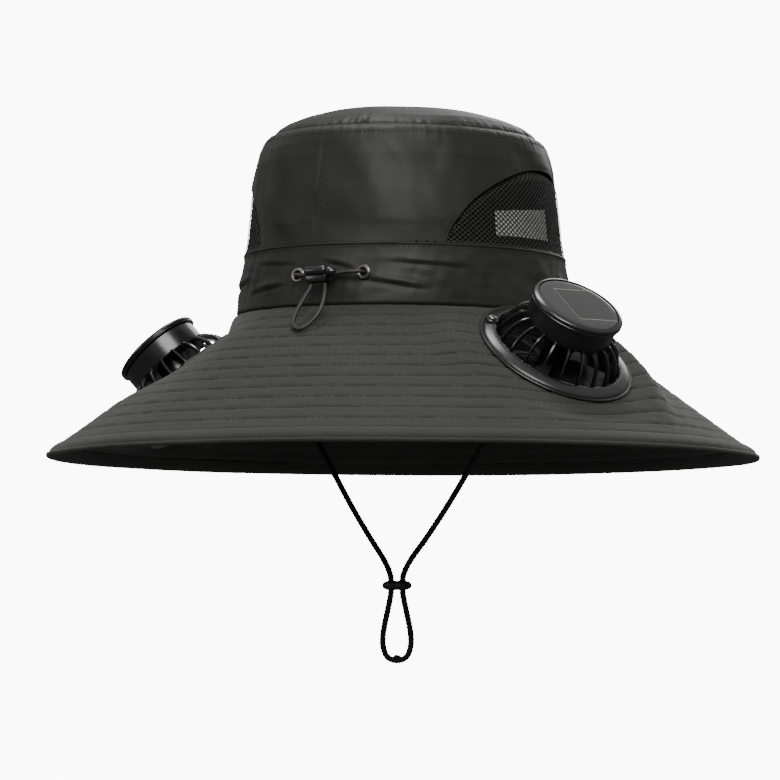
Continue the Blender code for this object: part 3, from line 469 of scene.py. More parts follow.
def crown_point(angle, height, inset=0.0):
    """Point of the crown's outer face; angle 0 is the rear seam and turns towards +X."""
    width = crown_width(height)
    return Vector((
        (OPENING_WIDTH / 2.0 * width - inset) * math.sin(angle),
        -(OPENING_LENGTH / 2.0 * width - inset) * math.cos(angle),
        height))


def crown_out(angle):
    """Level direction out of the crown."""
    return Vector((
        math.sin(angle) * OPENING_LENGTH, -math.cos(angle) * OPENING_WIDTH, 0.0)).normalized()


def crown_fold(angle, height):
    """Soft dents, drag lines and seam puckers of the crown cloth, outwards, in metres."""
    place = Vector((math.sin(angle), -math.cos(angle), 0.0))
    broad = noise.noise(place * 2.3 + Vector((3.1, 0.7, height * 22.0)))
    drag = noise.noise(Vector((angle * 3.4 + height * 30.0, height * 26.0, 4.2)))
    fine = noise.noise(Vector((angle * 11.0, height * 60.0, 9.0)))
    low = min(max((height - BAND_HEIGHT) / 0.012, 0.0), 1.0)
    high = min(max((TIP_SEAM_HEIGHT - height) / 0.010, 0.0), 1.0)
    free = low * high
    pucker = noise.noise(Vector((angle * 34.0, 0.0, 2.0)))
    pucker *= math.exp(-((height - TIP_SEAM_HEIGHT) / 0.007) ** 2) * 0.0011
    pucker -= 0.0014 * math.exp(-((height - TIP_SEAM_HEIGHT) / 0.0010) ** 2)
    seam = -0.0006 * math.exp(-((angle + 0.02) / 0.018) ** 2)
    return free * (broad * 0.0018 + drag * 0.0023 + fine * 0.0003) + pucker + seam


def thicken_inwards(bm, thickness):
    """Turn a sheet's faces out of the hat, then give it its thickness on the inside."""
    bmesh.ops.recalc_face_normals(bm, faces=bm.faces)
    if sum(face.normal.dot(face.calc_center_median()) for face in bm.faces) < 0.0:
        bmesh.ops.reverse_faces(bm, faces=bm.faces)
    bmesh.ops.solidify(bm, geom=bm.faces, thickness=thickness)


def blend_in(value):
    """Smooth step from 0 to 1."""
    value = min(max(value, 0.0), 1.0)
    return value * value * (3.0 - 2.0 * value)


def arch_low(angle, centre_deg, extra=0.0):
    """Height of the window's edge above the band at an angle, or 0 outside the window."""
    across = math.degrees(angle) - centre_deg
    across = (across + 180.0) % 360.0 - 180.0
    along = across / (ARCH_HALF + extra * 1000.0 / ARCH_PER_DEGREE)
    return (ARCH_HEIGHT + extra) * max(1.0 - along * along, 0.0) ** ARCH_ROUNDNESS


WALL_RADIUS = 0.09


def wrap_uv(piece, flat_radius=None):
    """UV map in metres: u round the hat, and v up, or outwards where a radius is given."""
    mesh = piece.data
    layer = mesh.uv_layers.new(name="cloth")
    count = len(mesh.loops)
    corner = np.empty(count, np.int64)
    mesh.loops.foreach_get("vertex_index", corner)
    places = np.empty(len(mesh.vertices) * 3)
    mesh.vertices.foreach_get("co", places)
    places = places.reshape(-1, 3)[corner]
    angles = np.arctan2(places[:, 0], -places[:, 1])
    starts = np.empty(len(mesh.polygons), np.int64)
    totals = np.empty(len(mesh.polygons), np.int64)
    mesh.polygons.foreach_get("loop_start", starts)
    mesh.polygons.foreach_get("loop_total", totals)
    first = np.repeat(angles[starts], totals)
    angles = angles + np.round((first - angles) / (2.0 * np.pi)) * 2.0 * np.pi
    reach = np.hypot(places[:, 0], places[:, 1])
    rise = places[:, 2] if flat_radius is None else reach
    around = angles * (WALL_RADIUS if flat_radius is None else flat_radius)
    layer.data.foreach_set("uv", np.stack([around, rise], axis=1).ravel())


def cloth_material(name, dark, light, roughness, sheen, slub, weave_depth):
    """Woven polyester: fine crossed threads, slubs along the weft and faint uneven dye."""
    material, shader, place, uv = new_material(
        name, dark, roughness, Sheen_Weight=sheen, Sheen_Roughness=0.45,
        Specular_IOR_Level=0.35)
    weft_place = uv.node("ShaderNodeMapping", {}, {"Vector": uv, "Scale": (60.0, 1500.0, 1.0)})
    weft = weft_place.cloud(1.0, 3.0)
    warp_place = uv.node("ShaderNodeMapping", {}, {"Vector": uv, "Scale": (1700.0, 90.0, 1.0)})
    warp = warp_place.cloud(1.0, 2.0)
    patches = place.cloud(14.0, 4.0)
    threads = weft * 0.65 + warp * 0.35
    tone = threads * slub + patches * (1.0 - slub)
    spread = tone.node(
        "ShaderNodeMapRange", {}, {"Value": tone, "From Min": 0.34, "From Max": 0.66})
    spread.mix(dark, light).feed(shader, "Base Color")
    (patches * 0.16 + threads * 0.14 + (roughness - 0.15)).feed(shader, "Roughness")
    threads.feed_bump(shader, 0.5, weave_depth)
    return material


# the crown's cloth is the brim's charcoal cloth with its base colour about halved: painted shade
# of the upright crown, band and sweatband, which face away from the light above
shaded_crown_cloth = cloth_material(
    "crown_satin_with_painted_shade", (0.014, 0.014, 0.013), (0.030, 0.030, 0.028), 0.50, 0.05, 0.35, 0.00012)

SIDE_LOW = BAND_HEIGHT + 0.0002
SIDE_TOP = TIP_SEAM_HEIGHT - 0.0002
SIDE_ROWS = 66

bm = spun_column(
    [(0.0, -1.0, SIDE_LOW + (SIDE_TOP - SIDE_LOW) * row / SIDE_ROWS)
     for row in range(SIDE_ROWS + 1)], 360)
for vert in bm.verts:
    angle = math.atan2(vert.co.x, -vert.co.y)
    share = (vert.co.z - SIDE_LOW) / (SIDE_TOP - SIDE_LOW)
    low = SIDE_LOW + max(arch_low(angle, centre) for centre in ARCH_CENTRES.values())
    height = low + (SIDE_TOP - low) * share
    vert.co = crown_point(angle, height) + crown_out(angle) * crown_fold(angle, height)
thicken_inwards(bm, CROWN_CLOTH)
crown_wall = finish_piece(
    "crown_wall", bm, shaded_crown_cloth, "hat", ["crown_side"])
wrap_uv(crown_wall)


# Crown top
# One oval of the same cloth, domed and sewn to the wall, with its seam allowance puckered.

TIP_FOLDS = 26.0

heights = list(np.linspace(TIP_SEAM_HEIGHT + 0.0002, 0.1144, 34)) + [0.1147, 0.1149, 0.1150]
bm = spun_column([(0.0, -crown_width(height), height) for height in heights], 360)
bmesh.ops.scale(bm, verts=bm.verts, vec=(OPENING_WIDTH / 2.0, OPENING_LENGTH / 2.0, 1.0))
for vert in bm.verts:
    angle = math.atan2(vert.co.x, -vert.co.y)
    edge = math.exp(-((vert.co.z - TIP_SEAM_HEIGHT) / 0.005) ** 2)
    pucker = noise.noise(Vector((angle * TIP_FOLDS, vert.co.z * 50.0, 1.0)))
    dent = noise.noise(Vector((vert.co.x * 26.0, vert.co.y * 26.0, 7.0)))
    middle = 1.0 - edge
    groove = math.exp(-((vert.co.z - TIP_SEAM_HEIGHT) / 0.0010) ** 2)
    vert.co += crown_out(angle) * (pucker * 0.0016 * edge - 0.0006 * edge - 0.0010 * groove)
    vert.co.z += dent * 0.0012 * middle * (1.0 if vert.co.z < 0.1135 else 0.5) - 0.0006
thicken_inwards(bm, CROWN_CLOTH)
crown_top = finish_piece("crown_top", bm, shaded_crown_cloth, "hat", ["crown_tip"])
wrap_uv(crown_top)


# Net behind the arched windows
# Black polyester net with small diamond holes, sewn in behind each window. Just behind each net
# lies a near-black sheet: painted shade, standing in for the dark inside of the crown.

NET_PITCH = 0.0021
NET_THREAD = 0.00062
NET_MARGIN = 0.0040
NET_INSET = CROWN_CLOTH + 0.0011
NET_SWELL = 0.0023
NET_REACH = 0.10
NET_RADIUS = 0.0895

net_black = grained_material(
    "net_thread", (0.008, 0.008, 0.008), 0.60, 3000.0, 2.0,
    tones=((0.016, 0.016, 0.015), (0.060, 0.060, 0.056)), uneven=(0.3, 0.40),
    Specular_IOR_Level=0.4)
# near-black sheet behind the net: painted shade of the crown's inside, seen through the holes
net_shade_sheet = grained_material(
    "net_painted_shade_sheet", (0.003, 0.003, 0.003), 0.9, 900.0, 3.0,
    tones=((0.001, 0.001, 0.001), (0.008, 0.008, 0.008)))


def net_inset(angle, centre_deg, height):
    """How far the net lies inside the crown's face: nearly flush in the middle of its window."""
    spare = arch_low(angle, centre_deg) + BAND_HEIGHT - height
    return NET_INSET - NET_SWELL * blend_in((spare - 0.0006) / 0.0035)


for side, centre_deg in ARCH_CENTRES.items():
    bm = bmesh.new()
    cells = int(2.0 * NET_REACH / NET_PITCH)
    bmesh.ops.create_grid(bm, x_segments=cells, y_segments=cells, size=NET_REACH)
    bmesh.ops.rotate(bm, verts=bm.verts, matrix=Matrix.Rotation(math.pi / 4.0, 3, "Z"))
    bmesh.ops.scale(bm, verts=bm.verts, vec=(1.12, 0.88, 1.0))
    outside = []
    for face in bm.faces:
        centre = face.calc_center_median()
        angle = math.radians(centre_deg) + centre.x / NET_RADIUS
        top = arch_low(angle, centre_deg, NET_MARGIN)
        if abs(centre.x) > 0.095 or not -0.0006 < centre.y < top:
            outside.append(face)
    bmesh.ops.delete(bm, geom=outside, context="FACES")
    for vert in bm.verts:
        angle = math.radians(centre_deg) + vert.co.x / NET_RADIUS
        height = max(vert.co.y, 0.0001) + BAND_HEIGHT + 0.0003
        vert.co = crown_point(angle, height, net_inset(angle, centre_deg, height))
    bmesh.ops.wireframe(
        bm, faces=bm.faces, thickness=NET_THREAD, offset=0.0, use_replace=True,
        use_boundary=True, use_even_offset=True, use_relative_offset=False)
    net = finish_piece(
        "crown_net_" + side, bm, net_black, "hat", ["net_" + side], smooth_deg=None)

    # the painted shade sheet: a near-black strip just inside each net, in place of the shade there
    bm = bmesh.new()
    bmesh.ops.create_grid(bm, x_segments=80, y_segments=16, size=1.0)
    for vert in bm.verts:
        angle = math.radians(centre_deg + (ARCH_HALF + 2.0) * vert.co.x)
        top = max(arch_low(angle, centre_deg, NET_MARGIN), 0.0002)
        height = BAND_HEIGHT + 0.0004 + top * (vert.co.y + 1.0) / 2.0
        vert.co = crown_point(angle, height, net_inset(angle, centre_deg, height) + 0.0008)
    bmesh.ops.remove_doubles(bm, verts=bm.verts, dist=1.0e-5)
    bmesh.ops.recalc_face_normals(bm, faces=bm.faces)
    cut_area = sum(face.calc_area() for face in bm.faces)
    bmesh.ops.solidify(bm, geom=bm.faces, thickness=0.0003)
    bmesh.ops.recalc_face_normals(bm, faces=bm.faces)
    shade_sheet = finish_piece("net_shade_sheet_" + side, bm, net_shade_sheet, "hat")


# Reflective patch
# A small rectangle of light grey reflective cloth, tacked behind the right-hand net.

PATCH_CENTRE = math.radians(80.4)
PATCH_HALF = math.radians(14.5)
PATCH_LOW = BAND_HEIGHT + 0.0072
PATCH_HIGH = BAND_HEIGHT + 0.0228

patch_grey, patch_shader, patch_place, _ = new_material(
    "reflective_cloth", (0.70, 0.71, 0.69), 0.35, Specular_IOR_Level=0.6)
beads = patch_place.node(
    "ShaderNodeTexVoronoi", {}, {"Vector": patch_place, "Scale": 1800.0}, output=0)
beads.mix((0.80, 0.81, 0.79), (0.42, 0.43, 0.42)).feed(patch_shader, "Base Color")
beads.feed_bump(patch_shader, 0.4, 0.0001)

bm = bmesh.new()
bmesh.ops.create_grid(bm, x_segments=24, y_segments=8, size=1.0)
for vert in bm.verts:
    angle = PATCH_CENTRE + PATCH_HALF * vert.co.x
    slope = (1.0 - vert.co.x) / 2.0
    low = PATCH_LOW - 0.0009 - 0.0007 * slope
    high = PATCH_HIGH + 0.0003 - 0.0045 * slope
    height = low + (high - low) * (vert.co.y + 1.0) / 2.0
    vert.co = crown_point(angle, height, NET_INSET - NET_SWELL + 0.00045)
bmesh.ops.recalc_face_normals(bm, faces=bm.faces)
bmesh.ops.solidify(bm, geom=bm.faces, thickness=0.0003)
bmesh.ops.recalc_face_normals(bm, faces=bm.faces)
patch = finish_piece("crown_patch", bm, patch_grey, "hat", ["net_patch"])


# Band round the crown's foot
# A strip of the satin cloth over the crown's foot, with a corded top edge, lightly creased.

BAND_CLOTH = 0.0020
# from and to, each an angle and a height, and how deep
BAND_CREASES = [
    ((19.0, 0.0130), (38.0, 0.0085), 1.0), ((27.0, 0.0228), (52.0, 0.0205), 0.7),
    ((2.0, 0.0240), (14.0, 0.0190), 0.8), ((-12.0, 0.0120), (-32.0, 0.0095), 0.8),
    ((-10.0, 0.0225), (-30.0, 0.0245), 0.6), ((-36.0, 0.0170), (-60.0, 0.0130), 0.6)]


def band_fold(angle, height):
    """Creases of the band, outwards, in metres."""
    pressed = 0.0
    for (start, low), (end, high), depth in BAND_CREASES:
        along = (math.degrees(angle) - start) / (end - start)
        if -0.1 < along < 1.1:
            ease = math.sin(math.pi * (along + 0.1) / 1.2)
            above = height - (low + (high - low) * along)
            pressed += depth * ease * (
                0.0011 * math.exp(-((above - 0.0022) / 0.0022) ** 2)
                - 0.0010 * math.exp(-((above + 0.0004) / 0.0013) ** 2))
    share = height / BAND_HEIGHT
    free = math.sin(math.pi * min(max(share, 0.0), 1.0)) ** 0.7
    soft = noise.noise(Vector((angle * 5.0 + share * 1.4, share * 2.0, 12.0)))
    sharp = noise.noise(Vector((angle * 17.0 - share * 2.0, share * 1.5, 5.0)))
    drag = noise.noise(Vector((angle * 9.0, share * 6.0, 21.0)))
    gather = math.exp(-(angle / 0.30) ** 2)
    tucked = 0.0011 * math.exp(-(height / 0.0009) ** 2)
    return free * (
        soft * 0.0011 + sharp * (0.0003 + 0.0005 * gather) + drag * 0.0004 + pressed) - tucked


heights = list(np.linspace(0.0003, BAND_HEIGHT - 0.0021, 52))
heights += [BAND_HEIGHT - 0.0018 + 0.0003 * step for step in range(7)]
bm = spun_column([(0.0, -1.0, height) for height in heights], 480)
for vert in bm.verts:
    angle = math.atan2(vert.co.x, -vert.co.y)
    height = vert.co.z
    proud = 0.0006 * math.exp(-((height - BAND_HEIGHT + 0.0007) / 0.0006) ** 2)
    vert.co = crown_point(angle, height) + crown_out(angle) * (band_fold(angle, height) + proud)
thicken_inwards(bm, BAND_CLOTH)
band = finish_piece("crown_band", bm, shaded_crown_cloth, "hat", ["hat_band"])
wrap_uv(band)


# Sweatband
# A plain strip of cloth inside the band; the hidden stretch of the drawcord runs in it.

SWEAT_LOW = 0.0099
SWEAT_HIGH = 0.0238
# how far inside the crown's face, and height
SWEAT_SECTION = [
    (0.0026, SWEAT_LOW), (0.0026, SWEAT_HIGH), (0.0040, SWEAT_HIGH + 0.0003),
    (0.0056, SWEAT_HIGH - 0.0012), (0.0056, SWEAT_LOW + 0.0012), (0.0040, SWEAT_LOW - 0.0002)]

# the column stands at 1 from the axis, with the inset ten times too large so that it isn't merged
bm = spun_column(
    [(0.0, -(1.0 + inset * 10.0), height) for inset, height in SWEAT_SECTION],
    240, closed=True, merge=1.0e-6)
for vert in bm.verts:
    angle = math.atan2(vert.co.x, -vert.co.y)
    inset = (math.hypot(vert.co.x, vert.co.y) - 1.0) / 10.0
    vert.co = crown_point(angle, vert.co.z, inset)
bmesh.ops.recalc_face_normals(bm, faces=bm.faces)
sweatband = finish_piece(
    "sweatband", bm, shaded_crown_cloth, "hat", ["drawcord_channel"], smooth_deg=60.0)
wrap_uv(sweatband)


# Brim
# Two layers of matt polyester with a stiff core, quilted together in rings of stitching and cut
# out under each fan. The seat of each fan is pressed flat.

RIM_LENGTH = 0.4132
RIM_WIDTH = 0.3752
RIM_DROP = 0.0745
BRIM_CLOTH = 0.0024
BRIM_RADIUS = 0.145
HEM_WIDTH = 0.0105
HEM_GRIP = 0.0008
ROW_COUNT = 12
# side, place round the brim, place down its slant, tip outwards, turn to the rear, depth sunk
FAN_SEATS = [
    ("left", -86.2, 0.431, 5.0, 10.0, 0.0020),
    ("right", 68.8, 0.346, 2.0, 6.9, 0.0),
]
FLAT_RADIUS = {"left": 0.0490, "right": 0.0520}
FLAT_BLEND = 0.0220
HOLE_RADIUS = 0.0368
HOLLOW_DEPTH = 0.0078
HOLLOW_CENTRE = -58.0
HOLLOW_HALF = 40.0


def brim_halves(share):
    """Half the length and half the width of the brim's ring at a share of its slant."""
    return (OPENING_LENGTH / 2.0 + (RIM_LENGTH - OPENING_LENGTH) / 2.0 * share,
            OPENING_WIDTH / 2.0 + (RIM_WIDTH - OPENING_WIDTH) / 2.0 * share)


def brim_cone(angle, share):
    half_length, half_width = brim_halves(share)
    return Vector((
        half_width * math.sin(angle), -half_length * math.cos(angle),
        -RIM_DROP * max(share, 0.0)))


def brim_normal(angle, share):
    step = 0.001
    around = brim_cone(angle + step, share) - brim_cone(angle - step, share)
    down = brim_cone(angle, share + step) - brim_cone(angle, share - step)
    return down.cross(around).normalized()


def fan_matrix(around_deg, down_share, lean_deg, turn_deg, sunk):
    """A fan's own frame: its origin on the brim and its Z along the fan's axis."""
    around = math.radians(around_deg)
    normal = brim_normal(around, down_share)
    tilt = math.acos(normal.z) + math.radians(lean_deg)
    heading = math.atan2(normal.x, -normal.y)
    heading -= math.copysign(math.radians(turn_deg), heading)
    axis = Vector((
        math.sin(tilt) * math.sin(heading), -math.sin(tilt) * math.cos(heading), math.cos(tilt)))
    across = Vector((0.0, 0.0, 1.0)).cross(axis).normalized()
    turn = Matrix((across, axis.cross(across), axis)).transposed().to_4x4()
    return Matrix.Translation(brim_cone(around, down_share) - axis * sunk) @ turn


fan_frames = {seat[0]: fan_matrix(*seat[1:]) for seat in FAN_SEATS}
BRIM_SLANT = (brim_cone(math.pi / 2.0, 1.0) - brim_cone(math.pi / 2.0, 0.0)).length
HEM_SHARE = 1.0 - HEM_WIDTH / BRIM_SLANT
ROW_SHARES = [HEM_SHARE * (row + 1) / ROW_COUNT for row in range(ROW_COUNT)]


def brim_hollow(angle, share):
    """Depth of the soft hollow beside the left fan."""
    away = abs(math.degrees(angle) - HOLLOW_CENTRE) / HOLLOW_HALF
    if away >= 1.0 or share <= 0.0:
        return 0.0
    down = blend_in(share / 0.12) * (1.0 - blend_in((share - 0.28) / 0.38))
    return HOLLOW_DEPTH * down * (0.5 + 0.5 * math.cos(math.pi * away))


def brim_point(angle, share):
    """Point of the brim's upper face, flattened under each fan."""
    point = brim_cone(angle, share) - brim_normal(angle, share) * brim_hollow(angle, share)
    joined = blend_in(share / 0.04) * (1.0 - blend_in((share - 0.79) / 0.105))
    for side, matrix in fan_frames.items():
        axis = matrix.col[2].to_3d()
        offset = point - matrix.translation
        above = offset.dot(axis)
        distance = (offset - axis * above).length
        flat = 1.0 - blend_in((distance - FLAT_RADIUS[side]) / FLAT_BLEND)
        point = point - axis * (above * flat * joined)
    return point


def quilting(angle, share):
    """Relief of the stitched rings, outwards, in metres."""
    step = HEM_SHARE / ROW_COUNT
    along = share / step
    nearest = abs(along - round(along)) * step * BRIM_SLANT
    if share < step * 0.5:
        nearest = abs(share - step) * BRIM_SLANT
    groove = math.exp(-(nearest / 0.0007) ** 2)
    row = round(along)
    pucker = noise.noise(Vector((angle * 30.0, row * 3.7, 1.0)))
    between = noise.noise(Vector((angle * 13.0, share * 24.0, 8.0)))
    wave = noise.noise(Vector((math.sin(angle) * 2.0, math.cos(angle) * 2.0, share * 3.0)))
    return -0.00065 * groove * (1.0 + 0.7 * pucker) + 0.00022 * between + 0.0005 * wave * share


brim_cloth = cloth_material(
    "brim_polyester", (0.024, 0.0245, 0.023), (0.050, 0.051, 0.047), 0.80, 0.15, 0.55, 0.00016)

top_shares = [-0.012, -0.004] + [HEM_SHARE * step / 96 for step in range(97)]
low_shares = [HEM_SHARE * step / 36 for step in range(36, -1, -1)] + [-0.012]
bm = spun_column(
    [(0.0, -(1.0 + share), 0.0) for share in top_shares]
    + [(0.0, -(1.0 + share), -1.0) for share in low_shares], 432, closed=True)
for vert in bm.verts:
    angle = math.atan2(vert.co.x, -vert.co.y)
    share = math.hypot(vert.co.x, vert.co.y) - 1.0
    under = vert.co.z < -0.5
    relief = quilting(angle, share)
    rise = -BRIM_CLOTH - relief if under else relief
    vert.co = brim_point(angle, share) + brim_normal(angle, share) * rise
inside = []
for matrix in fan_frames.values():
    local = matrix.inverted()
    for face in bm.faces:
        centre = local @ face.calc_center_median()
        if abs(centre.z) < 0.02 and math.hypot(centre.x, centre.y) < HOLE_RADIUS:
            inside.append(face)
bmesh.ops.delete(bm, geom=inside, context="FACES")
for matrix in fan_frames.values():
    local = matrix.inverted()
    for vert in bm.verts:
        if vert.is_boundary:
            place = local @ vert.co
            reach = math.hypot(place.x, place.y)
            if reach < HOLE_RADIUS + 0.006 and abs(place.z) < 0.02:
                place.x *= HOLE_RADIUS / reach
                place.y *= HOLE_RADIUS / reach
                vert.co = matrix @ place
bmesh.ops.recalc_face_normals(bm, faces=bm.faces)
brim = finish_piece(
    "brim_cloth", bm, brim_cloth, "hat", ["brim"], smooth_deg=50.0)
wrap_uv(brim, BRIM_RADIUS)


# Hem
# The rim is bound in a padded strip of the same cloth, with one row of stitching at its edge.

# share of the hem's width, and rise above the brim's face
HEM_SECTION = [
    (0.000, -0.0003), (0.04, 0.0001), (0.12, 0.0004), (0.30, 0.0007), (0.52, 0.0008),
    (0.68, 0.0005), (0.76, -0.0003), (0.80, -0.0007), (0.84, -0.0002), (0.89, 0.0001),
    (0.95, -0.0001), (0.99, -0.0007), (1.00, -0.0014), (0.96, -0.0021),
    (0.85, -0.0027), (0.55, -0.0031), (0.25, -0.0029), (0.00, -0.0024)]

bm = spun_column(
    [(0.0, -(1.0 + along), rise * 100.0) for along, rise in HEM_SECTION], 540, closed=True)
for vert in bm.verts:
    angle = math.atan2(vert.co.x, -vert.co.y)
    along = math.hypot(vert.co.x, vert.co.y) - 1.0
    share = HEM_SHARE + (along * (HEM_WIDTH + HEM_GRIP) - HEM_GRIP) / BRIM_SLANT
    rise = vert.co.z / 100.0
    crease = noise.noise(Vector((angle * 60.0, along * 2.0, 3.0))) * 0.00025
    wave = noise.noise(Vector((math.sin(angle) * 2.0, math.cos(angle) * 2.0, share * 3.0)))
    swell = crease * (1.0 if rise > -0.0012 else -1.0) + 0.0005 * wave * share
    vert.co = brim_point(angle, share) + brim_normal(angle, share) * (rise + swell)
bmesh.ops.recalc_face_normals(bm, faces=bm.faces)
hem = finish_piece(
    "brim_binding", bm, brim_cloth, "hat", ["brim_hem"], smooth_deg=60.0)
wrap_uv(hem, BRIM_RADIUS)


# Stitching
# Black polyester thread: twelve rings in the brim, and topstitching on the crown's seams.

thread_black = grained_material(
    "sewing_thread", (0.010, 0.010, 0.010), 0.50, 4000.0, 2.0,
    tones=((0.004, 0.004, 0.004), (0.050, 0.050, 0.047)), uneven=(0.3, 0.40),
    Specular_IOR_Level=0.5)

STITCH_PITCH = 0.0034
STITCH_THICKNESS = 0.00040
FAN_CLEARANCE = 0.0428


def stitch_lift(number, top=0.00020):
    """Height of a stitch's point above the cloth: the second of its four points stands out."""
    return top if number % 4 == 1 else 0.00005


def sew(name, lines):
    """Rows of short raised stitches along lines of points, as one mesh."""
    seam = bpy.data.curves.new(name, "CURVE")
    seam.dimensions = "3D"
    seam.bevel_depth = STITCH_THICKNESS / 2.0
    seam.bevel_resolution = 0
    seam.use_fill_caps = True
    for line in lines:
        for a, b, c in zip(line[0::4], line[1::4], line[2::4]):
            spline = seam.splines.new("POLY")
            spline.points.add(2)
            for target, place, size in zip(spline.points, (a, b, c), (0.55, 1.0, 0.55)):
                target.co = (*place, 1.0)
                target.radius = size
    row = bpy.data.objects.new(name + "_rows", seam)
    bpy.context.scene.collection.objects.link(row)
    bpy.context.view_layer.update()
    mesh = bpy.data.meshes.new_from_object(
        row.evaluated_get(bpy.context.evaluated_depsgraph_get()))
    bm = bmesh.new()
    bm.from_mesh(mesh)
    bmesh.ops.remove_doubles(bm, verts=bm.verts, dist=1.0e-6)
    bmesh.ops.recalc_face_normals(bm, faces=bm.faces)
    bpy.data.objects.remove(row, do_unlink=True)
    bpy.data.meshes.remove(mesh)
    return finish_piece(name, bm, thread_black, "hat", smooth_deg=None)


def clear_of_fans(point):
    for matrix in fan_frames.values():
        place = matrix.inverted() @ point
        if math.hypot(place.x, place.y) < FAN_CLEARANCE and abs(place.z) < 0.02:
            return False
    return True


lines = []
for share in ROW_SHARES:
    half_length, half_width = brim_halves(share)
    around = 2.0 * math.pi * math.sqrt((half_length ** 2 + half_width ** 2) / 2.0)
    stitches = round(around / STITCH_PITCH)
    line = []
    for number in range(stitches * 4):
        angle = 2.0 * math.pi * number / (stitches * 4) - math.pi
        rise = quilting(angle, share) + stitch_lift(number, 0.00022)
        line.append(brim_point(angle, share) + brim_normal(angle, share) * rise)
    kept = []
    for start in range(0, len(line), 4):
        if clear_of_fans(line[start + 1]):
            kept += line[start:start + 4]
    lines.append(kept)
sew("brim_stitches", lines)


def crown_line(places, fold=crown_fold):
    """Points of one sewn line over the crown, from its angles and heights."""
    return [
        crown_point(angle, height)
        + crown_out(angle) * (fold(angle, height) + stitch_lift(number))
        for number, (angle, height) in enumerate(places)]


lines = []
for height, stitches, fold in (
        (0.0925, 190, crown_fold), (BAND_HEIGHT - 0.0026, 210, band_fold)):
    lines.append(crown_line(
        [(2.0 * math.pi * number / (stitches * 4) - math.pi, height)
         for number in range(stitches * 4)], fold))
# two rows along the rear seam, which leans a little
for offset in (-0.026, 0.024):
    heights = [0.0350 + 0.0600 * number / 72 for number in range(72)]
    lines.append(crown_line(
        [(offset - 0.060 * (height - 0.035) / 0.060, height) for height in heights]))
# one row round each window
for centre_deg in ARCH_CENTRES.values():
    places = []
    for number in range(58 * 4):
        along = -1.0 + 2.0 * (number + 2) / (58 * 4 + 4)
        angle = math.radians(centre_deg + (ARCH_HALF + 1.6) * along)
        height = BAND_HEIGHT + (ARCH_HEIGHT + 0.0024) * (1.0 - along * along) ** ARCH_ROUNDNESS
        places.append((angle, height))
    lines.append(crown_line(places))
sew("crown_stitches", lines)


# Eyelets
# Rolled brass rings plated in dark nickel, pressed into the band for the drawcord.

EYELETS = [("left", -7.0, 0.0166), ("right", 17.7, 0.0171)]

nickel = grained_material(
    "dark_nickel", (0.28, 0.27, 0.25), 0.26, 420.0, 5.0,
    tones=((0.14, 0.135, 0.125), (0.40, 0.39, 0.36)), uneven=(0.22, 0.18), metallic=1.0)


def spun(profile, steps, closed=True):
    """Bmesh of a profile of (radius, height) points spun about Z."""
    column = [(radius, 0.0, height) for radius, height in profile]
    bm = spun_column(column, steps, closed, 1.0e-6)
    bmesh.ops.recalc_face_normals(bm, faces=bm.faces)
    return bm


for side, around_deg, height in EYELETS:
    angle = math.radians(around_deg)
    along = crown_point(angle + 0.001, height) - crown_point(angle - 0.001, height)
    rising = crown_point(angle, height + 0.001) - crown_point(angle, height - 0.001)
    turn = along.cross(rising).to_track_quat("Z", "Y").to_matrix().to_4x4()
    lip = [
        (0.0030 + 0.00105 * math.cos(step * math.pi / 8.0),
         0.0005 + 0.00075 * math.sin(step * math.pi / 8.0)) for step in range(9)]
    bm = spun([(0.0024, -0.0017)] + [(0.0027, -0.0017), (0.0041, 0.0003)] + lip[1:-1]
              + [(0.0020, 0.0004)], 48)
    bmesh.ops.transform(
        bm, matrix=Matrix.Translation(crown_point(angle, height)) @ turn, verts=bm.verts)
    finish_piece(
        "eyelet_ring_" + side, bm, nickel, "hat", ["eyelet_" + side])


# Cord lock
# Moulded gloss plastic: a round spring barrel over a flat lobe that the cord passes through, and
# a press button at one end.

LOCK_CENTRE = Vector((0.0054, -0.1079, 0.0158))

gloss_black = grained_material(
    "gloss_plastic", (0.008, 0.008, 0.008), 0.16, 160.0, 6.0,
    tones=((0.006, 0.006, 0.006), (0.012, 0.012, 0.012)), uneven=(0.16, 0.17),
    bump=(0.05, 0.0002), Specular_IOR_Level=0.9)

barrel = spun(
    [(0.0, -0.0066), (0.0014, -0.0065), (0.0022, -0.0061), (0.0027, -0.0054), (0.0029, -0.0044),
     (0.0029, 0.0044), (0.0027, 0.0054), (0.0022, 0.0061), (0.0014, 0.0065), (0.0, 0.0066)],
    40, closed=False)
bmesh.ops.rotate(barrel, verts=barrel.verts, matrix=Matrix.Rotation(math.pi / 2.0, 3, "Y"))
bmesh.ops.translate(
    barrel, verts=barrel.verts, vec=LOCK_CENTRE + Vector((-0.0002, -0.0006, 0.0017)))
lobe_verts = bmesh.ops.create_cube(barrel, size=1.0)["verts"]
bmesh.ops.scale(barrel, verts=lobe_verts, vec=(0.0132, 0.0054, 0.0044))
bmesh.ops.translate(barrel, verts=lobe_verts, vec=LOCK_CENTRE + Vector((0.0, 0.0004, -0.0022)))
for vert in lobe_verts:
    if vert.co.z < LOCK_CENTRE.z - 0.002:
        vert.co.x = LOCK_CENTRE.x + (vert.co.x - LOCK_CENTRE.x) * 0.84
lobe_edges = list({edge for vert in lobe_verts for edge in vert.link_edges})
bmesh.ops.bevel(
    barrel, geom=lobe_edges, offset=0.0013, affect="EDGES", segments=4, profile=0.5, material=-1)
finish_piece(
    "lock_barrel", barrel, gloss_black, "hat", ["cord_lock_body"])

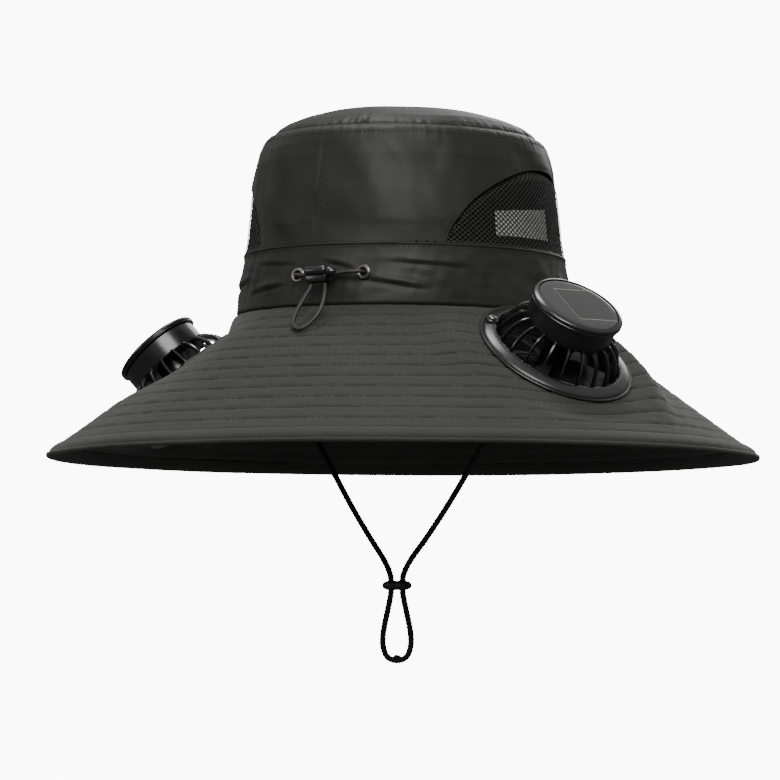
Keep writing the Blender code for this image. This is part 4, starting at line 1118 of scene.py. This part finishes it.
button = spun(
    [(0.0, 0.0042), (0.0009, 0.0041), (0.0015, 0.0036), (0.0021, 0.0022), (0.0026, 0.0008),
     (0.0026, 0.0), (0.0015, 0.0), (0.0015, -0.0060), (0.0, -0.0060)], 36, closed=False)
bmesh.ops.rotate(button, verts=button.verts, matrix=Matrix.Rotation(math.pi / 2.0, 3, "Y"))
bmesh.ops.translate(
    button, verts=button.verts,
    vec=LOCK_CENTRE + Vector((0.0066, 0.0, 0.0011)))
finish_piece(
    "lock_press_button", button, gloss_black, "lock_button",
    ["cord_lock_button"])


# Chin cord clamps
# Small plain blocks under the crown's foot that hold the ends of the chin cord.

for side in ("left", "right"):
    low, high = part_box("chin_clamp_" + side)
    bm = bmesh.new()
    verts = bmesh.ops.create_cube(bm, size=1.0)["verts"]
    bmesh.ops.scale(bm, verts=verts, vec=high - low)
    bmesh.ops.translate(bm, verts=verts, vec=(low + high) / 2.0)
    bmesh.ops.bevel(
        bm, geom=list(bm.edges), offset=0.0009, affect="EDGES", segments=3, profile=0.5,
        material=-1)
    finish_piece(
        "cord_clamp_" + side, bm, cord_plastic, "hat", ["chin_clamp_" + side])


# Fan flanges
# Satin black moulded rings that sit on the brim, with the duct wall below and one screw lug.

satin_black, satin_shader, satin_place, _ = new_material(
    "satin_plastic", (0.012, 0.012, 0.012), 0.36, Specular_IOR_Level=0.75)
pores = satin_place.cloud(1100.0, 4.0)
rub = satin_place.cloud(55.0, 5.0)
(pores * 0.10 + rub * 0.12 + 0.18).feed(satin_shader, "Roughness")
rub.mix((0.012, 0.012, 0.012), (0.020, 0.020, 0.019)).feed(satin_shader, "Base Color")
pores.feed_bump(satin_shader, 0.06, 0.0001)

FLANGE_PROFILE = [
    (0.0424, 0.0012), (0.0424, 0.0006), (0.0421, 0.0005), (0.0352, 0.0005), (0.0352, -0.0088),
    (0.0350, -0.0090), (0.0329, -0.0090), (0.0327, -0.0088), (0.0332, 0.0010),
    (0.0343, 0.0037), (0.0346, 0.0041), (0.0350, 0.0043), (0.0355, 0.0043), (0.0372, 0.0037),
    (0.0392, 0.0029), (0.0404, 0.0023), (0.0408, 0.0018), (0.0410, 0.0014), (0.0422, 0.0014)]
SCREW_ANGLE = math.radians(141.0)
SCREW_REACH = 0.0372
LUG_TOP = 0.0050
RIB_COUNT = 20
RIB_ANGLES = [
    math.radians(-102.5) + 2.0 * math.pi * index / RIB_COUNT for index in range(RIB_COUNT)]

screw_place = Vector((math.cos(SCREW_ANGLE), math.sin(SCREW_ANGLE), 0.0)) * SCREW_REACH


def join_into(bm, other, matrix=None):
    """Copy another bmesh into this one."""
    if matrix is not None:
        bmesh.ops.transform(other, matrix=matrix, verts=other.verts)
    carrier = bpy.data.meshes.new("carrier")
    other.to_mesh(carrier)
    other.free()
    bm.from_mesh(carrier)
    bpy.data.meshes.remove(carrier)


for side, matrix in fan_frames.items():
    bm = spun(FLANGE_PROFILE, 128)
    lug = spun(
        [(0.0, LUG_TOP), (0.0031, LUG_TOP), (0.0035, LUG_TOP - 0.0004), (0.0037, 0.0012),
         (0.0, 0.0012)], 32, closed=False)
    join_into(bm, lug, Matrix.Translation(screw_place))
    for angle in RIB_ANGLES:
        boss = spun(
            [(0.0, 0.0040), (0.0005, 0.0040), (0.0008, 0.0037), (0.0009, 0.0026), (0.0, 0.0026)],
            10, closed=False)
        join_into(bm, boss, Matrix.Translation(
            (math.cos(angle) * 0.0345, math.sin(angle) * 0.0345, 0.0)))
    bmesh.ops.transform(bm, matrix=matrix, verts=bm.verts)
    finish_piece("flange_" + side, bm, satin_black, "hat", ["fan_flange_" + side])

    head = LUG_TOP + 0.0003
    bm = spun(
        [(0.0, head + 0.0010), (0.0008, head + 0.0010), (0.0016, head + 0.0009),
         (0.0021, head + 0.0006), (0.0023, head + 0.0002), (0.0022, head), (0.0, head)],
        32, closed=False)
    for turn in (0.0, math.pi / 2.0):
        slot = bmesh.ops.create_cube(bm, size=1.0)["verts"]
        bmesh.ops.scale(bm, verts=slot, vec=(0.0024, 0.0005, 0.0002))
        bmesh.ops.rotate(bm, verts=slot, matrix=Matrix.Rotation(turn + 0.5, 3, "Z"))
        bmesh.ops.translate(bm, verts=slot, vec=(0.0, 0.0, head + 0.0010))
    bmesh.ops.transform(bm, matrix=matrix @ Matrix.Translation(screw_place), verts=bm.verts)
    finish_piece("flange_screw_" + side, bm, nickel, "hat", ["fan_screw_" + side])


# Fan housings
# A gloss black motor barrel held over the duct by twenty thin curved ribs moulded with it.

BARREL_PROFILE = [
    (0.0, 0.0278), (0.0232, 0.0278), (0.0234, 0.0276), (0.0234, 0.0178), (0.0233, 0.0171),
    (0.0230, 0.0167), (0.0225, 0.0165), (0.0087, 0.0165), (0.0085, 0.0163), (0.0085, 0.0066),
    (0.0083, 0.0064), (0.0012, 0.0064), (0.0012, -0.0045), (0.0, -0.0045)]
# section of a rib: reach outwards and place across its thickness
RIB_SECTION = [
    (0.0011, 0.0004), (0.0009, 0.00055), (-0.0011, 0.00055), (-0.0011, -0.00055),
    (0.0009, -0.00055), (0.0011, -0.0004)]
RIB_ROUTE = [
    (0.0219, 0.0173), (0.0238, 0.0170), (0.0256, 0.0160), (0.0274, 0.0144), (0.0289, 0.0124),
    (0.0302, 0.0101), (0.0311, 0.0076), (0.0317, 0.0048), (0.0320, 0.0014)]

for side, matrix in fan_frames.items():
    bm = spun(BARREL_PROFILE, 128, closed=False)
    ribs = bmesh.new()
    route = [Vector((radius, 0.0, height)) for radius, height in RIB_ROUTE]
    for angle in RIB_ANGLES:
        spin = Matrix.Rotation(angle, 4, "Z")
        for number, point in enumerate(route):
            along = route[min(number + 1, len(route) - 1)] - route[max(number - 1, 0)]
            deep = along.normalized().cross(Vector((0.0, 1.0, 0.0)))
            corners = [
                spin @ (point + deep * reach + Vector((0.0, wide, 0.0)))
                for reach, wide in RIB_SECTION]
            if number == 0:
                ring = [ribs.verts.new(corner) for corner in corners]
                edges = [ribs.edges.new(pair) for pair in zip(ring, ring[1:] + ring[:1])]
                first_ring = ring
            else:
                ring, edges = grow_tube(ribs, edges, corners)
        ribs.faces.new(first_ring)
        ribs.faces.new(ring)
    bmesh.ops.recalc_face_normals(ribs, faces=ribs.faces)
    join_into(bm, ribs)
    bmesh.ops.transform(bm, matrix=matrix, verts=bm.verts)
    finish_piece(
        "housing_" + side, bm, gloss_black, "hat", ["fan_housing_" + side])


# Caps with their solar panels
# A gloss ring snapped over the barrel holds a round panel: a dark cell under clear resin.

CAP_PROFILE = [
    (0.0228, 0.0318), (0.0236, 0.03145), (0.0244, 0.0311), (0.0248, 0.0306), (0.0249, 0.0301),
    (0.0249, 0.0298),
    (0.0247, 0.0295), (0.0243, 0.0294), (0.0243, 0.0292), (0.0247, 0.0290), (0.0249, 0.0287),
    (0.0248, 0.0283), (0.0244, 0.0282), (0.0200, 0.0282), (0.0200, 0.0302), (0.0222, 0.0302),
    (0.0222, 0.0309), (0.0223, 0.0317), (0.0225, 0.0319)]
CELL_LEFT = -0.0080
CELL_TOP = 0.0133
CELL_LOW = -0.0136

panel_dark, panel_shader, _, panel_uv = new_material(
    "solar_panel", (0.014, 0.015, 0.014), 0.10, Coat_Weight=0.5, Coat_Roughness=0.04)
across = panel_uv.node("ShaderNodeSeparateXYZ", {}, {"Vector": panel_uv})
upward = Wire(across.socket.node.outputs[1])


def line_mask(value, place, half_width):
    """1 on a thin line where value equals place."""
    gap = value.sum("ABSOLUTE", value - place)
    return gap.sum("LESS_THAN", gap, half_width)


in_left = across.sum("GREATER_THAN", across, CELL_LEFT)
below_top = upward.sum("LESS_THAN", upward, CELL_TOP)
above_low = upward.sum("GREATER_THAN", upward, CELL_LOW)
cell = in_left * below_top * above_low
edge_top = line_mask(upward, CELL_TOP, 0.00020) * in_left
edge_low = line_mask(upward, CELL_LOW, 0.00018) * in_left
edge_left = line_mask(across, CELL_LEFT, 0.00018) * below_top * above_low * 0.5
frame_lines = edge_top.sum("MAXIMUM", edge_top, edge_low)
frame_lines = frame_lines.sum("MAXIMUM", frame_lines, edge_left)
fingers = across.sum("FRACT", (across + 0.05) / 0.0024)
fingers = fingers.sum("LESS_THAN", fingers, 0.07) * cell
grains = panel_uv.node(
    "ShaderNodeTexVoronoi", {}, {"Vector": panel_uv, "Scale": 260.0}, output=1)
grain_tone = grains.node("ShaderNodeSeparateColor", {}, {"Color": grains})
back_tone = cell.mix((0.030, 0.031, 0.030), (0.018, 0.020, 0.018))
grain_mix = (grain_tone * cell * 0.4).mix(back_tone, (0.030, 0.034, 0.030))
finger_mix = (fingers * 0.30).mix(grain_mix, (0.10, 0.10, 0.095))
frame_lines.mix(finger_mix, (0.34, 0.33, 0.29)).feed(panel_shader, "Base Color")
(0.16 - cell * 0.06).feed(panel_shader, "Roughness")

for side, matrix in fan_frames.items():
    bm = spun(CAP_PROFILE, 128)
    bmesh.ops.transform(bm, matrix=matrix, verts=bm.verts)
    finish_piece(
        "cap_ring_" + side, bm, gloss_black, "hat", ["cap_rim_" + side],
        smooth_deg=32.0)

    bm = spun(
        [(0.0, 0.0318), (0.0060, 0.03178), (0.0120, 0.03173), (0.0180, 0.03165),
         (0.0208, 0.03157), (0.0218, 0.0314), (0.0219, 0.0308), (0.0219, 0.0304),
         (0.0, 0.0304)], 96, closed=False)
    layer = bm.loops.layers.uv.new("panel")
    for face in bm.faces:
        for loop in face.loops:
            loop[layer].uv = loop.vert.co.xy
    bmesh.ops.transform(bm, matrix=matrix, verts=bm.verts)
    finish_piece(
        "sun_panel_" + side, bm, panel_dark, "hat", ["solar_panel_" + side])


# Impellers
# Seven twisted blades on a round hub, moulded in one piece and pressed on the motor's shaft.

BLADE_COUNT = 7
BLADE_ROOT = 0.0068
BLADE_TIP = 0.0288

for side, matrix in fan_frames.items():
    bm = spun(
        [(0.0076, 0.0052), (0.0070, 0.0059), (0.0062, 0.0061), (0.0016, 0.0061),
         (0.0016, -0.0075), (0.0062, -0.0075), (0.0070, -0.0073), (0.0076, -0.0066)], 48)
    for index in range(BLADE_COUNT):
        blade = bmesh.new()
        bmesh.ops.create_grid(blade, x_segments=12, y_segments=8, size=1.0)
        for vert in blade.verts:
            along = (vert.co.x + 1.0) / 2.0
            across = vert.co.y
            radius = BLADE_ROOT + (BLADE_TIP - BLADE_ROOT) * along
            pitch = math.radians(44.0 - 18.0 * along)
            chord = 0.0034 + 0.0050 * math.sin(math.pi * (0.18 + 0.55 * along))
            camber = 0.0011 * (1.0 - across * across)
            sideways = across * chord * math.cos(pitch) - camber * math.sin(pitch)
            rise = across * chord * math.sin(pitch) + camber * math.cos(pitch)
            sweep = 0.22 * along * along
            angle = sideways / max(radius, 0.010) + sweep
            vert.co = Vector((
                radius * math.cos(angle), radius * math.sin(angle), -0.0044 + rise * 0.9))
        bmesh.ops.recalc_face_normals(blade, faces=blade.faces)
        bmesh.ops.solidify(blade, geom=blade.faces, thickness=0.0009)
        bmesh.ops.recalc_face_normals(blade, faces=blade.faces)
        join_into(bm, blade, Matrix.Rotation(2.0 * math.pi * index / BLADE_COUNT, 4, "Z"))
    bmesh.ops.transform(bm, matrix=matrix, verts=bm.verts)
    finish_piece(
        "fan_blades_" + side, bm, satin_black, "impeller_" + side,
        ["impeller_" + side])


# Outlet rings under the brim
# A moulded ring screwed to the flange through the brim, with three bars across the outlet.

OUTLET_PROFILE = [
    (0.0404, -0.0034), (0.0404, -0.0046), (0.0400, -0.0052), (0.0379, -0.0106),
    (0.0374, -0.0110), (0.0320, -0.0110), (0.0317, -0.0107), (0.0317, -0.0096),
    (0.0320, -0.0094), (0.0355, -0.0094), (0.0355, -0.0034)]

for side, matrix in fan_frames.items():
    bm = spun(OUTLET_PROFILE, 128)
    for index in range(3):
        bar = bmesh.new()
        verts = bmesh.ops.create_cube(bar, size=1.0)["verts"]
        bmesh.ops.scale(bar, verts=verts, vec=(0.0646, 0.0018, 0.0013))
        bmesh.ops.bevel(
            bar, geom=list(bar.edges), offset=0.0003, affect="EDGES", segments=2, profile=0.5,
            material=-1)
        bmesh.ops.translate(bar, verts=bar.verts, vec=(0.0, 0.0, -0.0102))
        join_into(bm, bar, Matrix.Rotation(math.pi * index / 3.0, 4, "Z"))
    boss = spun(
        [(0.0, -0.0095), (0.0072, -0.0095), (0.0076, -0.0098), (0.0076, -0.0107),
         (0.0072, -0.0110), (0.0, -0.0110)], 48, closed=False)
    join_into(bm, boss)
    bmesh.ops.transform(bm, matrix=matrix, verts=bm.verts)
    finish_piece(
        "outlet_ring_" + side, bm, satin_black, "hat", ["fan_outlet_" + side])
